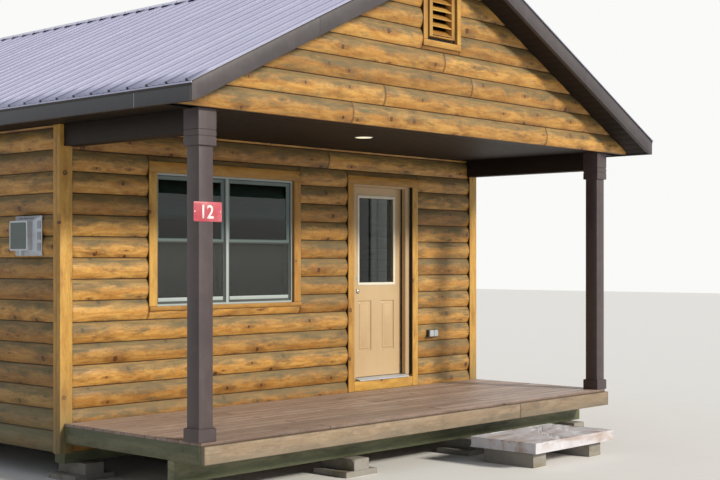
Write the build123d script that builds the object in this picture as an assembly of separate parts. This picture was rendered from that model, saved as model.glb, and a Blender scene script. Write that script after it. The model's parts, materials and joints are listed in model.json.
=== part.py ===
from build123d import *
import math
import os

# Log cabin with a front porch. Millimetres, +Z up, ground at Z = 0.
# X runs along the front from left to right, Y runs from the porch into the cabin.
# The origin is the centre of the whole footprint, on the ground.

# Plan
frame_width = 5640
porch_depth = 1846
house_depth = 6096
eave_reach = 380
rake_reach = 310

# Footings and ground beams
pad_side = 400
pad_height = 50
block_length = 390
block_width = 190
block_height = 100
beam_piers = 4
pier_inset = 250
front_beam_height = 184
front_beam_width = 76
front_beam_setback = 360
house_beam_height = 220
house_beam_width = 140
house_beam_inset = 30

# Framing lumber
lumber = 38
joist_pitch = 406
house_joist_height = 235
deck_joist_height = 140
subfloor = 19
deck_board = 25
deck_gap = 1

# Log siding and walls
stud_wall = 115
log_pitch = 184
log_face = 38
log_edge = 12
siding_drop = 383
header_height = 357
trim_face = 44
trim_width = 92
trim_head = 100
corner_front_leg = 125
corner_side_leg = 101

# Porch
post_width = 140
post_trim = 19
post_overhang = 25
base_height = 105
cap_height = 281
cap_grooves = (70, 118)
groove = 4
side_beam_height = 184
side_beam_width = 140
header_width = 140
ceiling_sheet = 12
light_radius = 90
light_depth = 8
light_x = -265
light_y = 720

# Roof
slope = 0.49
heel_height = 324
sheathing = 18
metal_gauge = 2
rib_pitch = 229
rib_height = 19
rib_top = 18
rib_foot = 44
metal_lap = 12
ridge_gap = 2
cap_wing = 160
cap_gap = 0.3
fascia_board = 38
fascia_height = 146
rake_height = 162
soffit_sheet = 10

# Front door
door_x = 1245
door_width = 813
door_height = 2030
door_thickness = 44
door_gap = 5
jamb_face = 58
stop_face = 12
head_reveal = 14
sill_rise = 5
sill_nose = 12
sill_fall = 6
lite_width = 559
lite_height = 914
lite_rise = 1000
lite_frame = 26
lite_frame_lap = 6
lite_frame_proud = 9
glass_sheet = 18
panel_width = 205
panel_height = 535
panel_rise = 275
panel_space = 162
panel_depth = 7
panel_border = 24
knob_rise = 914
knob_backset = 60
knob_radius = 27
knob_reach = 58
knob_flat = 8
rose_radius = 33
rose_depth = 8
bolt_rise = 1054
bolt_radius = 29
bolt_depth = 18
hinge_radius = 6
hinge_height = 100
hinge_leaf = 2
hinge_leaf_width = 36
hinge_gap = 0.5
knuckle_gap = 0.3
hinge_rises = (180, 1015, 1850)

# Front window, two double-hung units side by side
window_x = -967
window_width = 1722
window_height = 1205
window_head_rise = 2
sill_board = 38
sill_board_proud = 10
window_frame_face = 26
window_frame_depth = 82
window_frame_proud = 14
sash_face = 30
sash_depth = 28
sash_gap = 3
sash_setback = 22
pane = 14

# Gable vents
vent_x = -40
vent_width = 356
vent_height = 406
vent_drop = 439
vent_trim = 90
vent_frame = 14
louvre_pitch = 72
louvre_sheet = 10
louvre_slant = 62
louvre_rise = 8
louvre_setback = 4
vent_setback = 6
vent_inside = 38

# Small fittings
plate_width = 280
plate_height = 150
plate_sheet = 4
plate_centre = 2242
plate_shift = -17
outlet_width = 150
outlet_height = 80
outlet_depth = 48
outlet_x = 2039
outlet_z = 1062
hood_back = 422
hood_base_width = 400
hood_base_height = 345
hood_box_width = 260
hood_box_height = 245
hood_flange = 10
hood_flare = 55
hood_box = 45
hood_grille = 14
hood_grille_lap = 6
hood_z = 2086

# Front step
step_x = 1040
step_width = 1300
step_depth = 740
step_slab = 100
step_top = 244
step_gap = 20
step_block_width = 200
step_block_inset = 90

# Levels worked out from the sizes above
beam_base = pad_height + block_height
deck_frame_base = beam_base + front_beam_height
deck_frame_top = deck_frame_base + deck_joist_height
deck_top = deck_frame_top + deck_board
joist_base = beam_base + house_beam_height
floor_top = joist_base + house_joist_height + subfloor
siding_base = floor_top - siding_drop
door_base = floor_top + sill_rise + door_gap
door_top = door_base + door_height
opening_head = door_top + window_head_rise
ceiling_z = opening_head + header_height

# Lines of the plan worked out from the sizes above
half_frame = frame_width / 2
half_eave = half_frame + eave_reach
half_soffit = half_eave - fascia_board
step_reach = step_gap + step_depth
back_reach = rake_reach + metal_lap
total_depth = step_reach + porch_depth + house_depth + back_reach
front_y = step_reach - total_depth / 2
wall_y = front_y + porch_depth
back_y = wall_y + house_depth
inner_front = wall_y + stud_wall
inner_back = back_y - stud_wall
half_inner = half_frame - stud_wall
gable_back = front_y + header_width
deck_back = wall_y - trim_face - deck_gap
board_front = front_y + lumber
post_x = half_frame + post_overhang - post_trim - post_width / 2
post_y = board_front + post_trim + post_width / 2
ridge_height = ceiling_z + heel_height + slope * half_frame
vent_base = ridge_height - vent_drop - vent_height
slope_length = math.hypot(1, slope)
sheathing_drop = sheathing * slope_length
metal_drop = metal_gauge * slope_length


def block(x0, x1, y0, y1, z0, z1):
    """A plain block between two corners, given in either order."""
    size = (abs(x1 - x0), abs(y1 - y0), abs(z1 - z0))
    middle = ((x0 + x1) / 2, (y0 + y1) / 2, (z0 + z1) / 2)
    return Pos(*middle) * Box(*size)


def prism_along_y(points, y0, y1):
    """A flat outline of (x, z) points carried along Y."""
    outline = [Vector(x, min(y0, y1), z) for x, z in points]
    face = make_face(Polyline(*outline, close=True))
    return extrude(face, amount=abs(y1 - y0), dir=(0, 1, 0))


def prism_along_x(points, x0, x1):
    """A flat outline of (y, z) points carried along X."""
    outline = [Vector(min(x0, x1), y, z) for y, z in points]
    face = make_face(Polyline(*outline, close=True))
    return extrude(face, amount=abs(x1 - x0), dir=(1, 0, 0))


def roof_z(x, drop=0):
    """Height of the roof plane at x, less an upright drop below it."""
    return ridge_height - slope * abs(x) - drop


def log_courses(start, along, out, length, z0, z1):
    """Rounded log courses from z0 to z1 or just past it: one arc a course."""
    face = Vector(*out) * log_face
    edge = Vector(*out) * log_edge
    courses = math.ceil((z1 - z0) / log_pitch)
    low = Vector(*start) + Vector(0, 0, z0)
    top = low + Vector(0, 0, courses * log_pitch)
    edges = [Line(low, low + edge)]
    for course in range(courses):
        foot = low + Vector(0, 0, course * log_pitch)
        middle = foot + Vector(0, 0, log_pitch / 2) + face
        head = foot + Vector(0, 0, log_pitch)
        edges.append(ThreePointArc(foot + edge, middle, head + edge))
    edges.append(Line(top + edge, top))
    edges.append(Line(top, low))
    return extrude(make_face(edges), amount=length, dir=along)


def save(node, shape):
    solids = shape if isinstance(shape, list) else list(shape.solids())
    whole = solids[0] if len(solids) == 1 else Compound(children=solids)
    whole.label = node
    export_step(whole, f"parts/{node}.step")


def spread(low, high, count):
    """Even places from low to high, both ends counted."""
    step = (high - low) / (count - 1)
    return [low + step * number for number in range(count)]


# Footings, beams and floor frame
front_beam_y = front_y + front_beam_setback + front_beam_width / 2
house_beam_half = house_beam_width / 2
house_beam_ys = spread(wall_y + house_beam_half, back_y - house_beam_half, 3)


def concrete_piers():
    piers = []
    for y in [front_beam_y] + house_beam_ys:
        for x in spread(-half_frame + pier_inset, half_frame - pier_inset, beam_piers):
            pad = Pos(x, y, pad_height / 2) * Box(pad_side, pad_side, pad_height)
            high = Pos(x, y, pad_height + block_height / 2)
            piers.append((pad + high * Box(block_width, block_length, block_height)).solid())
    return piers


def ground_beams():
    front = block(-half_frame, half_frame, front_beam_y - front_beam_width / 2,
                  front_beam_y + front_beam_width / 2, beam_base, deck_frame_base)
    beams = [front]
    half = half_frame - house_beam_inset
    for y in house_beam_ys:
        beams.append(block(-half, half, y - house_beam_half, y + house_beam_half,
                           beam_base, joist_base))
    return beams


def floor_frames():
    """Front, back, foot and top of the house floor's frame and of the deck's."""
    return ((wall_y, back_y, joist_base, joist_base + house_joist_height),
            (board_front, deck_back, deck_frame_base, deck_frame_top))


def joists():
    """Rows of boards on edge along Y, the end ones flush with the frame's sides."""
    bays = math.ceil((frame_width - lumber) / joist_pitch)
    boards = []
    for y0, y1, z0, z1 in floor_frames():
        for x in spread(-half_frame + lumber / 2, half_frame - lumber / 2, bays + 1):
            boards.append(block(x - lumber / 2, x + lumber / 2,
                                y0 + lumber, y1 - lumber, z0, z1))
    return boards


def rim_boards():
    boards = []
    for y0, y1, z0, z1 in floor_frames():
        for y in (y0, y1 - lumber):
            boards.append(block(-half_frame, half_frame, y, y + lumber, z0, z1))
    return boards


# Walls
def wall_logs(side):
    """Log courses of the front or back wall, between the corner boards."""
    reach = half_frame + trim_face - corner_front_leg
    y = wall_y if side < 0 else back_y
    logs = log_courses((-reach, y, 0), (1, 0, 0), (0, side, 0), 2 * reach,
                       siding_base, ceiling_z)
    return logs & block(-reach, reach, y - log_face, y + log_face, siding_base, ceiling_z)


def side_wall(side):
    core = block(side * half_frame, side * half_inner, wall_y, back_y, floor_top, ceiling_z)
    y0 = wall_y - trim_face + corner_side_leg
    y1 = back_y + trim_face - corner_side_leg
    logs = log_courses((side * half_frame, y0, 0), (0, 1, 0), (side, 0, 0), y1 - y0,
                       siding_base, ceiling_z)
    strip = block(side * half_frame, side * (half_frame + log_face), y0, y1,
                  siding_base, ceiling_z)
    return core + (logs & strip)


half_door_rough = door_width / 2 + door_gap + jamb_face
door_left = door_x - half_door_rough
door_right = door_x + half_door_rough
door_head = door_top + door_gap + jamb_face
window_left = window_x - window_width / 2
window_right = window_x + window_width / 2
window_sill = opening_head - window_height
trim_head_top = opening_head + trim_head


def front_wall(x0, x1, z0):
    """One stretch of the front wall from x0 to x1, its studs from z0 up."""
    left = max(x0, -half_inner)
    right = min(x1, half_inner)
    core = block(left, right, wall_y, inner_front, z0, ceiling_z)
    strip = block(x0, x1, wall_y - log_face, wall_y, siding_base, ceiling_z)
    return core + (wall_logs(-1) & strip)


def front_wall_left():
    edge = door_left - trim_width
    wall = front_wall(-half_frame - trim_face, edge, floor_top)
    wall += block(edge, door_left, wall_y, inner_front, floor_top, ceiling_z)
    wall -= block(window_left, window_right, wall_y - log_face, inner_front,
                  window_sill, opening_head)
    wall -= block(window_left - trim_width, window_right + trim_width, wall_y - log_face,
                  wall_y, window_sill - sill_board, trim_head_top)
    return wall


def front_wall_right():
    edge = door_right + trim_width
    wall = front_wall(edge, half_frame + trim_face, floor_top)
    return wall + block(door_right, edge, wall_y, inner_front, floor_top, ceiling_z)


def front_wall_over_door():
    core = block(door_left, door_right, wall_y, inner_front, door_head, ceiling_z)
    strip = block(door_left - trim_width, door_right + trim_width, wall_y - log_face,
                  wall_y, trim_head_top, ceiling_z)
    return core + (wall_logs(-1) & strip)


def front_wall_under_door():
    strip = block(door_left - trim_width, door_right + trim_width, wall_y - log_face,
                  wall_y, siding_base, deck_top)
    return wall_logs(-1) & strip


def gable_outline():
    """Five corners: the ceiling line, two short heels and the ridge."""
    drop = metal_drop + sheathing_drop
    return [(-half_soffit, ceiling_z), (half_soffit, ceiling_z),
            (half_soffit, roof_z(half_soffit, drop)), (0, roof_z(0, drop)),
            (-half_soffit, roof_z(half_soffit, drop))]


def back_wall():
    core = block(-half_inner, half_inner, inner_back, back_y, floor_top, ceiling_z)
    return core + wall_logs(1)


def gables():
    """Both gables: logs start afresh on the porch and run on above the back wall."""
    left = vent_x - vent_width / 2
    right = vent_x + vent_width / 2
    z1 = vent_base + vent_height
    solids = []
    for y, side, inner, z0 in ((front_y, -1, gable_back, ceiling_z),
                               (back_y, 1, inner_back, siding_base)):
        outer = y + side * log_face
        logs = log_courses((-half_soffit, y, 0), (1, 0, 0), (0, side, 0),
                           2 * half_soffit, z0, ridge_height)
        gable = prism_along_y(gable_outline(), y, inner)
        gable += logs & prism_along_y(gable_outline(), y, outer)
        gable -= block(left, right, inner, outer, vent_base, z1)
        gable -= block(left - vent_trim, right + vent_trim, y, outer,
                       vent_base - vent_trim, z1 + vent_trim)
        solids.append(gable.solid())
    return solids


def corner_boards():
    boards = []
    for sx in (-1, 1):
        for y, sy in ((wall_y, -1), (back_y, 1)):
            x_out = sx * (half_frame + trim_face)
            y_out = y + sy * trim_face
            front = block(x_out, x_out - sx * corner_front_leg, y_out, y,
                          siding_base, ceiling_z)
            side = block(x_out, sx * half_frame, y_out, y_out - sy * corner_side_leg,
                         siding_base, ceiling_z)
            boards.append((front + side).solid())
    return boards


# Trim round the openings
def opening_trim(x0, x1, z0, z1):
    """Two side boards and a head board round an opening, all to one top line."""
    y0 = wall_y - trim_face
    boards = block(x0 - trim_width, x1 + trim_width, y0, wall_y, z0, trim_head_top)
    return boards - block(x0, x1, y0, wall_y, z0, z1)


def window_trim():
    """Side and head boards on a sill board that runs under them and stands proud."""
    trim = opening_trim(window_left, window_right, window_sill, opening_head)
    front = wall_y - trim_face - sill_board_proud
    return trim + block(window_left - trim_width, window_right + trim_width, front, wall_y,
                        window_sill - sill_board, window_sill)


def door_trim():
    trim = opening_trim(door_left, door_right, deck_top, door_top + head_reveal)
    return trim + block(door_left, door_right, wall_y - trim_face, wall_y,
                        deck_top, floor_top - subfloor)


def vent_places():
    return ((front_y, -1), (back_y, 1))


def vent_trims():
    z1 = vent_base + vent_height
    left = vent_x - vent_width / 2
    right = vent_x + vent_width / 2
    rings = []
    for y, side in vent_places():
        outer = y + side * trim_face
        ring = block(left - vent_trim, right + vent_trim, y, outer,
                     vent_base - vent_trim, z1 + vent_trim)
        rings.append((ring - block(left, right, y, outer, vent_base, z1)).solid())
    return rings


def vent_louvres():
    """A box frame with slanted slats that shed rain outwards."""
    left = vent_x - vent_width / 2
    right = vent_x + vent_width / 2
    z1 = vent_base + vent_height
    clear = vent_height - 2 * vent_frame - louvre_rise - louvre_slant
    vents = []
    for y, side in vent_places():
        inner = y - side * vent_inside
        outer = y + side * (trim_face - vent_setback)
        box = block(left, right, inner, outer, vent_base, z1)
        box -= block(left + vent_frame, right - vent_frame, inner, outer,
                     vent_base + vent_frame, z1 - vent_frame)
        for slat in range(int(clear / louvre_pitch) + 1):
            foot = vent_base + vent_frame + louvre_rise + slat * louvre_pitch
            front = outer - side * louvre_setback
            back = inner + side * louvre_setback
            outline = [(front, foot), (front, foot + louvre_sheet),
                       (back, foot + louvre_slant), (back, foot + louvre_slant - louvre_sheet)]
            box += prism_along_x(outline, left + vent_frame, right - vent_frame)
        vents.append(box.solid())
    return vents


# Front window
def window_units():
    """Clear middle of each of the two units, left to right."""
    clear = (window_width - 4 * window_frame_face) / 2
    left = window_left + window_frame_face
    right = window_x + window_frame_face
    return ((left, left + clear), (right, right + clear))


window_front = wall_y - window_frame_proud
meeting_z = window_sill + window_height / 2


def window_frame():
    y1 = window_front + window_frame_depth
    frame = block(window_left, window_right, window_front, y1, window_sill, opening_head)
    for x0, x1 in window_units():
        frame -= block(x0, x1, window_front, y1, window_sill + window_frame_face,
                       opening_head - window_frame_face)
    return frame


def sash_places():
    """Each sash as x0, x1, front y, z0, z1: uppers outside, lowers inside."""
    places = []
    for x0, x1 in window_units():
        low = window_sill + window_frame_face
        high = opening_head - window_frame_face
        outer = window_front + sash_setback
        inner = outer + sash_depth + sash_gap
        places.append((x0, x1, outer, meeting_z - sash_face / 2, high))
        places.append((x0, x1, inner, low, meeting_z + sash_face / 2))
    return places


def window_sashes():
    sashes = []
    for x0, x1, y, z0, z1 in sash_places():
        sash = block(x0, x1, y, y + sash_depth, z0, z1)
        sash -= block(x0 + sash_face, x1 - sash_face, y, y + sash_depth,
                      z0 + sash_face, z1 - sash_face)
        sashes.append(sash.solid())
    return sashes


def window_glass():
    panes = []
    for x0, x1, y, z0, z1 in sash_places():
        middle = y + sash_depth / 2
        panes.append(block(x0 + sash_face, x1 - sash_face, middle - pane / 2,
                           middle + pane / 2, z0 + sash_face, z1 - sash_face))
    return panes


# Front door
door_inner = inner_front
door_outer = door_inner - door_thickness
stop_back = door_outer - door_gap


def door_frame():
    clear = door_width / 2 + door_gap
    head = door_top + door_gap
    frame = block(door_left, door_right, wall_y, inner_front, floor_top, door_head)
    frame -= block(door_x - clear, door_x + clear, stop_back, inner_front, floor_top, head)
    frame -= block(door_x - clear + stop_face, door_x + clear - stop_face, wall_y,
                   stop_back, floor_top, head - stop_face)
    return frame


def door_threshold():
    nose = wall_y - trim_face - sill_nose
    outline = [(nose, floor_top - subfloor), (wall_y, floor_top - subfloor),
               (wall_y, floor_top), (inner_front, floor_top),
               (inner_front, floor_top + sill_rise), (wall_y, floor_top + sill_rise),
               (nose, floor_top - sill_fall)]
    clear = door_width / 2 + door_gap - stop_face
    return prism_along_x(outline, door_x - clear, door_x + clear)


lite_left = door_x - lite_width / 2
lite_right = door_x + lite_width / 2
lite_z0 = door_base + lite_rise
lite_z1 = lite_z0 + lite_height


def raised_panel(x0, z0, y, side):
    """A groove round a raised field, cut into one face of the door."""
    x1 = x0 + panel_width
    z1 = z0 + panel_height
    depth = y - side * panel_depth
    ring = block(x0, x1, y, depth, z0, z1)
    return ring - block(x0 + panel_border, x1 - panel_border, y, depth,
                        z0 + panel_border, z1 - panel_border)


def front_door():
    half = door_width / 2
    door = block(door_x - half, door_x + half, door_outer, door_inner, door_base, door_top)
    door -= block(lite_left, lite_right, door_outer, door_inner, lite_z0, lite_z1)
    for x0 in (door_x - panel_space / 2 - panel_width, door_x + panel_space / 2):
        for y, side in ((door_outer, -1), (door_inner, 1)):
            door -= raised_panel(x0, door_base + panel_rise, y, side)
    return door


def door_lite_frames():
    """Moulded frames round the glass, one on each face of the door."""
    frames = []
    for y, side in ((door_outer, -1), (door_inner, 1)):
        out = y + side * lite_frame_proud
        ring = block(lite_left - lite_frame, lite_right + lite_frame, y, out,
                     lite_z0 - lite_frame, lite_z1 + lite_frame)
        ring -= block(lite_left + lite_frame_lap, lite_right - lite_frame_lap, y, out,
                      lite_z0 + lite_frame_lap, lite_z1 - lite_frame_lap)
        frames.append(ring.solid())
    return frames


def door_glass():
    middle = (door_outer + door_inner) / 2
    return block(lite_left, lite_right, middle - glass_sheet / 2, middle + glass_sheet / 2,
                 lite_z0, lite_z1)


hinge_x = door_x + door_width / 2 + door_gap / 2
hinge_y = door_inner + hinge_radius + hinge_gap
knuckle = hinge_height / 3


def hinge_leaf_plate(x0, x1, z0):
    return block(x0, x1, door_inner - hinge_leaf_width, door_inner, z0, z0 + hinge_height)


def barrel(z0, z1, x0, x1):
    """A length of hinge barrel and the tab that joins it to its leaf."""
    round_part = Pos(hinge_x, hinge_y, (z0 + z1) / 2) * Cylinder(hinge_radius, z1 - z0)
    return round_part + block(x0, x1, door_inner, hinge_y, z0, z1)


def frame_hinges():
    x1 = door_x + door_width / 2 + door_gap
    hinges = []
    for rise in hinge_rises:
        z0 = door_base + rise
        leaf = hinge_leaf_plate(x1 - hinge_leaf, x1, z0)
        middle = barrel(z0 + knuckle + knuckle_gap, z0 + 2 * knuckle - knuckle_gap,
                        x1 - hinge_leaf, x1)
        hinges.append((leaf + middle).solid())
    return hinges


def turned_knob(y, side):
    """Round rose, neck and knob on one face of the door."""
    x = door_x - door_width / 2 + knob_backset
    z = door_base + knob_rise
    turn = Rot(side * -90, 0, 0)
    rose = Pos(x, y + side * rose_depth / 2, z) * turn * Cylinder(rose_radius, rose_depth)
    neck = Pos(x, y + side * knob_reach / 2, z) * turn * Cylinder(knob_radius / 2, knob_reach)
    centre = knob_reach - knob_radius + knob_flat
    ball = Pos(x, y + side * centre, z) * Sphere(knob_radius)
    room = rose_radius + knob_radius
    cut = block(x - room, x + room, y, y + side * knob_reach, z - room, z + room)
    return (rose + neck + ball) & cut


def door_hardware():
    """Knob, bolt and the door's own hinge leaves."""
    pieces = []
    x = door_x - door_width / 2 + knob_backset
    turn = Rot(90, 0, 0)
    for y, side in ((door_outer, -1), (door_inner, 1)):
        pieces.append(turned_knob(y, side).solid())
        place = Pos(x, y + side * bolt_depth / 2, door_base + bolt_rise)
        pieces.append((place * turn * Cylinder(bolt_radius, bolt_depth)).solid())
    x0 = door_x + door_width / 2
    for rise in hinge_rises:
        z0 = door_base + rise
        hinge = hinge_leaf_plate(x0, x0 + hinge_leaf, z0)
        hinge += barrel(z0, z0 + knuckle, x0, x0 + hinge_leaf)
        hinge += barrel(z0 + 2 * knuckle, z0 + hinge_height, x0, x0 + hinge_leaf)
        pieces.append(hinge.solid())
    return pieces


# Porch
def square_ring(x, y, width, z0, z1):
    ring = Pos(x, y, (z0 + z1) / 2) * Box(width, width, z1 - z0)
    return ring - Pos(x, y, (z0 + z1) / 2) * Box(post_width, post_width, z1 - z0)


def porch_posts():
    posts = []
    for x in (-post_x, post_x):
        half = post_width / 2
        posts.append(block(x - half, x + half, post_y - half, post_y + half,
                           deck_top, ceiling_z))
    return posts


def post_trims():
    trims = []
    outer = post_width + 2 * post_trim
    for x in (-post_x, post_x):
        base = square_ring(x, post_y, outer, deck_top, deck_top + base_height)
        trims.append(base.solid())
        cap = square_ring(x, post_y, outer, ceiling_z - cap_height, ceiling_z)
        for rise in cap_grooves:
            z0 = ceiling_z - cap_height + rise
            cut = Pos(x, post_y, z0 + groove / 2) * Box(outer, outer, groove)
            cap -= cut - Pos(x, post_y, z0 + groove / 2) * Box(
                outer - 2 * groove, outer - 2 * groove, groove)
        trims.append(cap.solid())
    return trims


def side_beams():
    beams = []
    y0 = post_y + post_width / 2 + post_trim
    for x in (-post_x, post_x):
        half = side_beam_width / 2
        beams.append(block(x - half, x + half, y0, wall_y - trim_face,
                           ceiling_z - side_beam_height, ceiling_z))
    return beams


def ceiling():
    return block(-half_frame, half_frame, gable_back, inner_back,
                 ceiling_z, ceiling_z + ceiling_sheet)


def porch_light():
    place = Pos(light_x, front_y + light_y, ceiling_z - light_depth / 2)
    return place * Cylinder(light_radius, light_depth)


# Roof
rake_front = front_y - rake_reach
rake_back = back_y + rake_reach


def soffits():
    """Level sheets under the eaves and sloping sheets under the rakes."""
    sheets = []
    for side in (-1, 1):
        x0 = side * ridge_gap / 2
        x1 = side * half_soffit
        sheets.append(block(side * half_frame, x1, gable_back, inner_back, ceiling_z,
                            ceiling_z + ceiling_sheet))
        low = rake_height - soffit_sheet
        outline = [(x0, roof_z(x0, low)), (x0, roof_z(x0, low - soffit_sheet)),
                   (x1, roof_z(x1, low - soffit_sheet)), (x1, roof_z(x1, low))]
        for y0, y1 in ((rake_front + fascia_board, front_y - log_face),
                       (back_y + log_face, rake_back - fascia_board)):
            sheets.append(prism_along_y(outline, y0, y1))
    return sheets


def eave_fascias():
    boards = []
    for side in (-1, 1):
        top = roof_z(half_eave, metal_drop)
        boards.append(block(side * half_soffit, side * half_eave,
                            rake_front + fascia_board, rake_back - fascia_board,
                            top - fascia_height, top))
    return boards


def rake_boards():
    """Sloping boards under the roof's ends, level at the foot."""
    boards = []
    foot = roof_z(half_eave, metal_drop) - fascia_height
    for side in (-1, 1):
        x0 = side * ridge_gap / 2
        x1 = side * half_eave
        outline = [(x0, roof_z(x0, rake_height)), (x0, roof_z(x0, metal_drop)),
                   (x1, roof_z(x1, metal_drop)), (x1, roof_z(x1, rake_height))]
        for y0 in (rake_front, rake_back - fascia_board):
            board = prism_along_y(outline, y0, y0 + fascia_board)
            board &= block(-half_eave, half_eave, y0, y0 + fascia_board,
                           foot, ridge_height)
            boards.append(board.solid())
    return boards


def roof_sheathing():
    sheets = []
    for side in (-1, 1):
        x0 = side * ridge_gap / 2
        x1 = side * half_soffit
        low = metal_drop + sheathing_drop
        outline = [(x0, roof_z(x0, low)), (x0, roof_z(x0, metal_drop)),
                   (x1, roof_z(x1, metal_drop)), (x1, roof_z(x1, low))]
        sheets.append(prism_along_y(outline, rake_front + fascia_board,
                                    rake_back - fascia_board))
    return sheets


def rib_profile(y0, y1):
    """Upper line of the ribbed sheet: flats with evenly spaced raised ribs."""
    points = [(y0, 0)]
    ribs = int((y1 - y0 - rib_foot) / rib_pitch) + 1
    spare = (y1 - y0 - (ribs - 1) * rib_pitch - rib_foot) / 2
    for rib in range(ribs):
        foot = y0 + spare + rib * rib_pitch
        shoulder = (rib_foot - rib_top) / 2
        points += [(foot, 0), (foot + shoulder, rib_height),
                   (foot + shoulder + rib_top, rib_height), (foot + rib_foot, 0)]
    points.append((y1, 0))
    return points


def roof_metal():
    """Ribbed sheets from the ridge to just past the eaves."""
    sheets = []
    y0 = rake_front - metal_lap
    y1 = rake_back + metal_lap
    upper = rib_profile(y0, y1)
    for side in (-1, 1):
        down = Vector(side, 0, -slope).normalized()
        up = Vector(side * slope, 0, 1).normalized()
        x0 = side * ridge_gap / 2
        start = Vector(x0, 0, roof_z(x0, metal_drop))
        points = [start + Vector(0, y, 0) + up * (rise + metal_gauge) for y, rise in upper]
        points += [start + Vector(0, y1, 0), start + Vector(0, y0, 0)]
        run = (half_eave + metal_lap - ridge_gap / 2) * slope_length
        face = make_face(Polyline(*points, close=True))
        sheets.append(extrude(face, amount=run, dir=down))
    return sheets


def ridge_cap():
    """A folded strip that rests on the ribs."""
    low = roof_z(0) + (rib_height + cap_gap) * slope_length
    wing = cap_wing / slope_length
    fall = slope * wing
    thick = metal_gauge * slope_length
    outline = [(-wing, low - fall), (0, low), (wing, low - fall),
               (wing, low - fall + thick), (0, low + thick), (-wing, low - fall + thick)]
    return prism_along_y(outline, rake_front - metal_lap, rake_back + metal_lap)


# Small fittings
def number_plate():
    y1 = post_y - post_width / 2
    half = plate_width / 2
    x = -post_x - plate_shift
    return block(x - half, x + half, y1 - plate_sheet, y1,
                 plate_centre - plate_height / 2, plate_centre + plate_height / 2)


def outlet_box():
    y1 = wall_y - log_face
    half = outlet_width / 2
    return block(outlet_x - half, outlet_x + half, y1 - outlet_depth, y1,
                 outlet_z - outlet_height / 2, outlet_z + outlet_height / 2)


def wall_vent():
    """Heater vent hood: a flared base against the logs, a box and its grille."""
    x0 = -half_frame - log_face
    y = wall_y + hood_back
    base = Plane(origin=(x0, y, hood_z), x_dir=(0, -1, 0), z_dir=(-1, 0, 0))
    flange = base * Pos(0, 0, hood_flange / 2) * Box(
        hood_base_width, hood_base_height, hood_flange)
    wide = base.offset(hood_flange) * Rectangle(hood_base_width, hood_base_height)
    narrow = base.offset(hood_flare) * Rectangle(hood_box_width, hood_box_height)
    flare = loft([wide, narrow])
    depth = hood_flare + hood_box
    box = base * Pos(0, 0, (hood_flare + depth) / 2) * Box(
        hood_box_width, hood_box_height, hood_box)
    grille = base * Pos(0, 0, depth + hood_grille / 2) * Box(
        hood_box_width + 2 * hood_grille_lap, hood_box_height + 2 * hood_grille_lap,
        hood_grille)
    return flange + flare + box + grille


# Front step
def front_step():
    y1 = front_y - step_gap
    half = step_width / 2
    slab = block(step_x - half, step_x + half, y1 - step_depth, y1,
                 step_top - step_slab, step_top)
    for sx in (-1, 1):
        x_out = step_x + sx * (half - step_block_inset)
        slab += block(x_out, x_out - sx * step_block_width, y1 - step_depth + step_block_inset,
                      y1 - step_block_inset, 0, step_top - step_slab)
    return slab


nodes = {
    "concrete_piers": concrete_piers(),
    "ground_beams": ground_beams(),
    "joists": joists(),
    "rim_boards": rim_boards(),
    "house_floor": block(-half_frame, half_frame, wall_y, back_y, floor_top - subfloor,
                         floor_top),
    "deck_front_board": block(-half_frame, half_frame, front_y, board_front,
                              deck_frame_base, deck_frame_top),
    "porch_deck": block(-half_frame, half_frame, board_front, deck_back,
                        deck_frame_top, deck_top),
    "left_wall": side_wall(-1),
    "right_wall": side_wall(1),
    "back_wall": back_wall(),
    "front_wall_left": front_wall_left(),
    "front_wall_over_door": front_wall_over_door(),
    "front_wall_right": front_wall_right(),
    "front_wall_under_door": front_wall_under_door(),
    "gables": gables(),
    "corner_boards": corner_boards(),
    "vent_trims": vent_trims(),
    "vent_louvres": vent_louvres(),
    "window_trim": window_trim(),
    "window_frame": window_frame(),
    "window_sashes": window_sashes(),
    "window_glass": window_glass(),
    "door_trim": door_trim(),
    "door_frame": door_frame(),
    "door_threshold": door_threshold(),
    "front_door": front_door(),
    "door_lite_frames": door_lite_frames(),
    "door_glass": door_glass(),
    "door_hardware": door_hardware(),
    "frame_hinges": frame_hinges(),
    "porch_posts": porch_posts(),
    "post_trims": post_trims(),
    "side_beams": side_beams(),
    "ceiling": ceiling(),
    "porch_light": porch_light(),
    "soffits": soffits(),
    "eave_fascias": eave_fascias(),
    "rake_boards": rake_boards(),
    "roof_sheathing": roof_sheathing(),
    "roof_metal": roof_metal(),
    "ridge_cap": ridge_cap(),
    "number_plate": number_plate(),
    "outlet_box": outlet_box(),
    "wall_vent": wall_vent(),
    "front_step": front_step(),
}

os.makedirs("parts", exist_ok=True)
for node, shape in nodes.items():
    save(node, shape)
print(len(nodes), "nodes; hinge at", round(hinge_x, 3), round(hinge_y, 3), round(door_base, 3))
print("front", front_y, "wall", wall_y, "back", back_y, "deck", deck_top, "ceiling", ceiling_z)
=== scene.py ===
import json
import math

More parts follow.
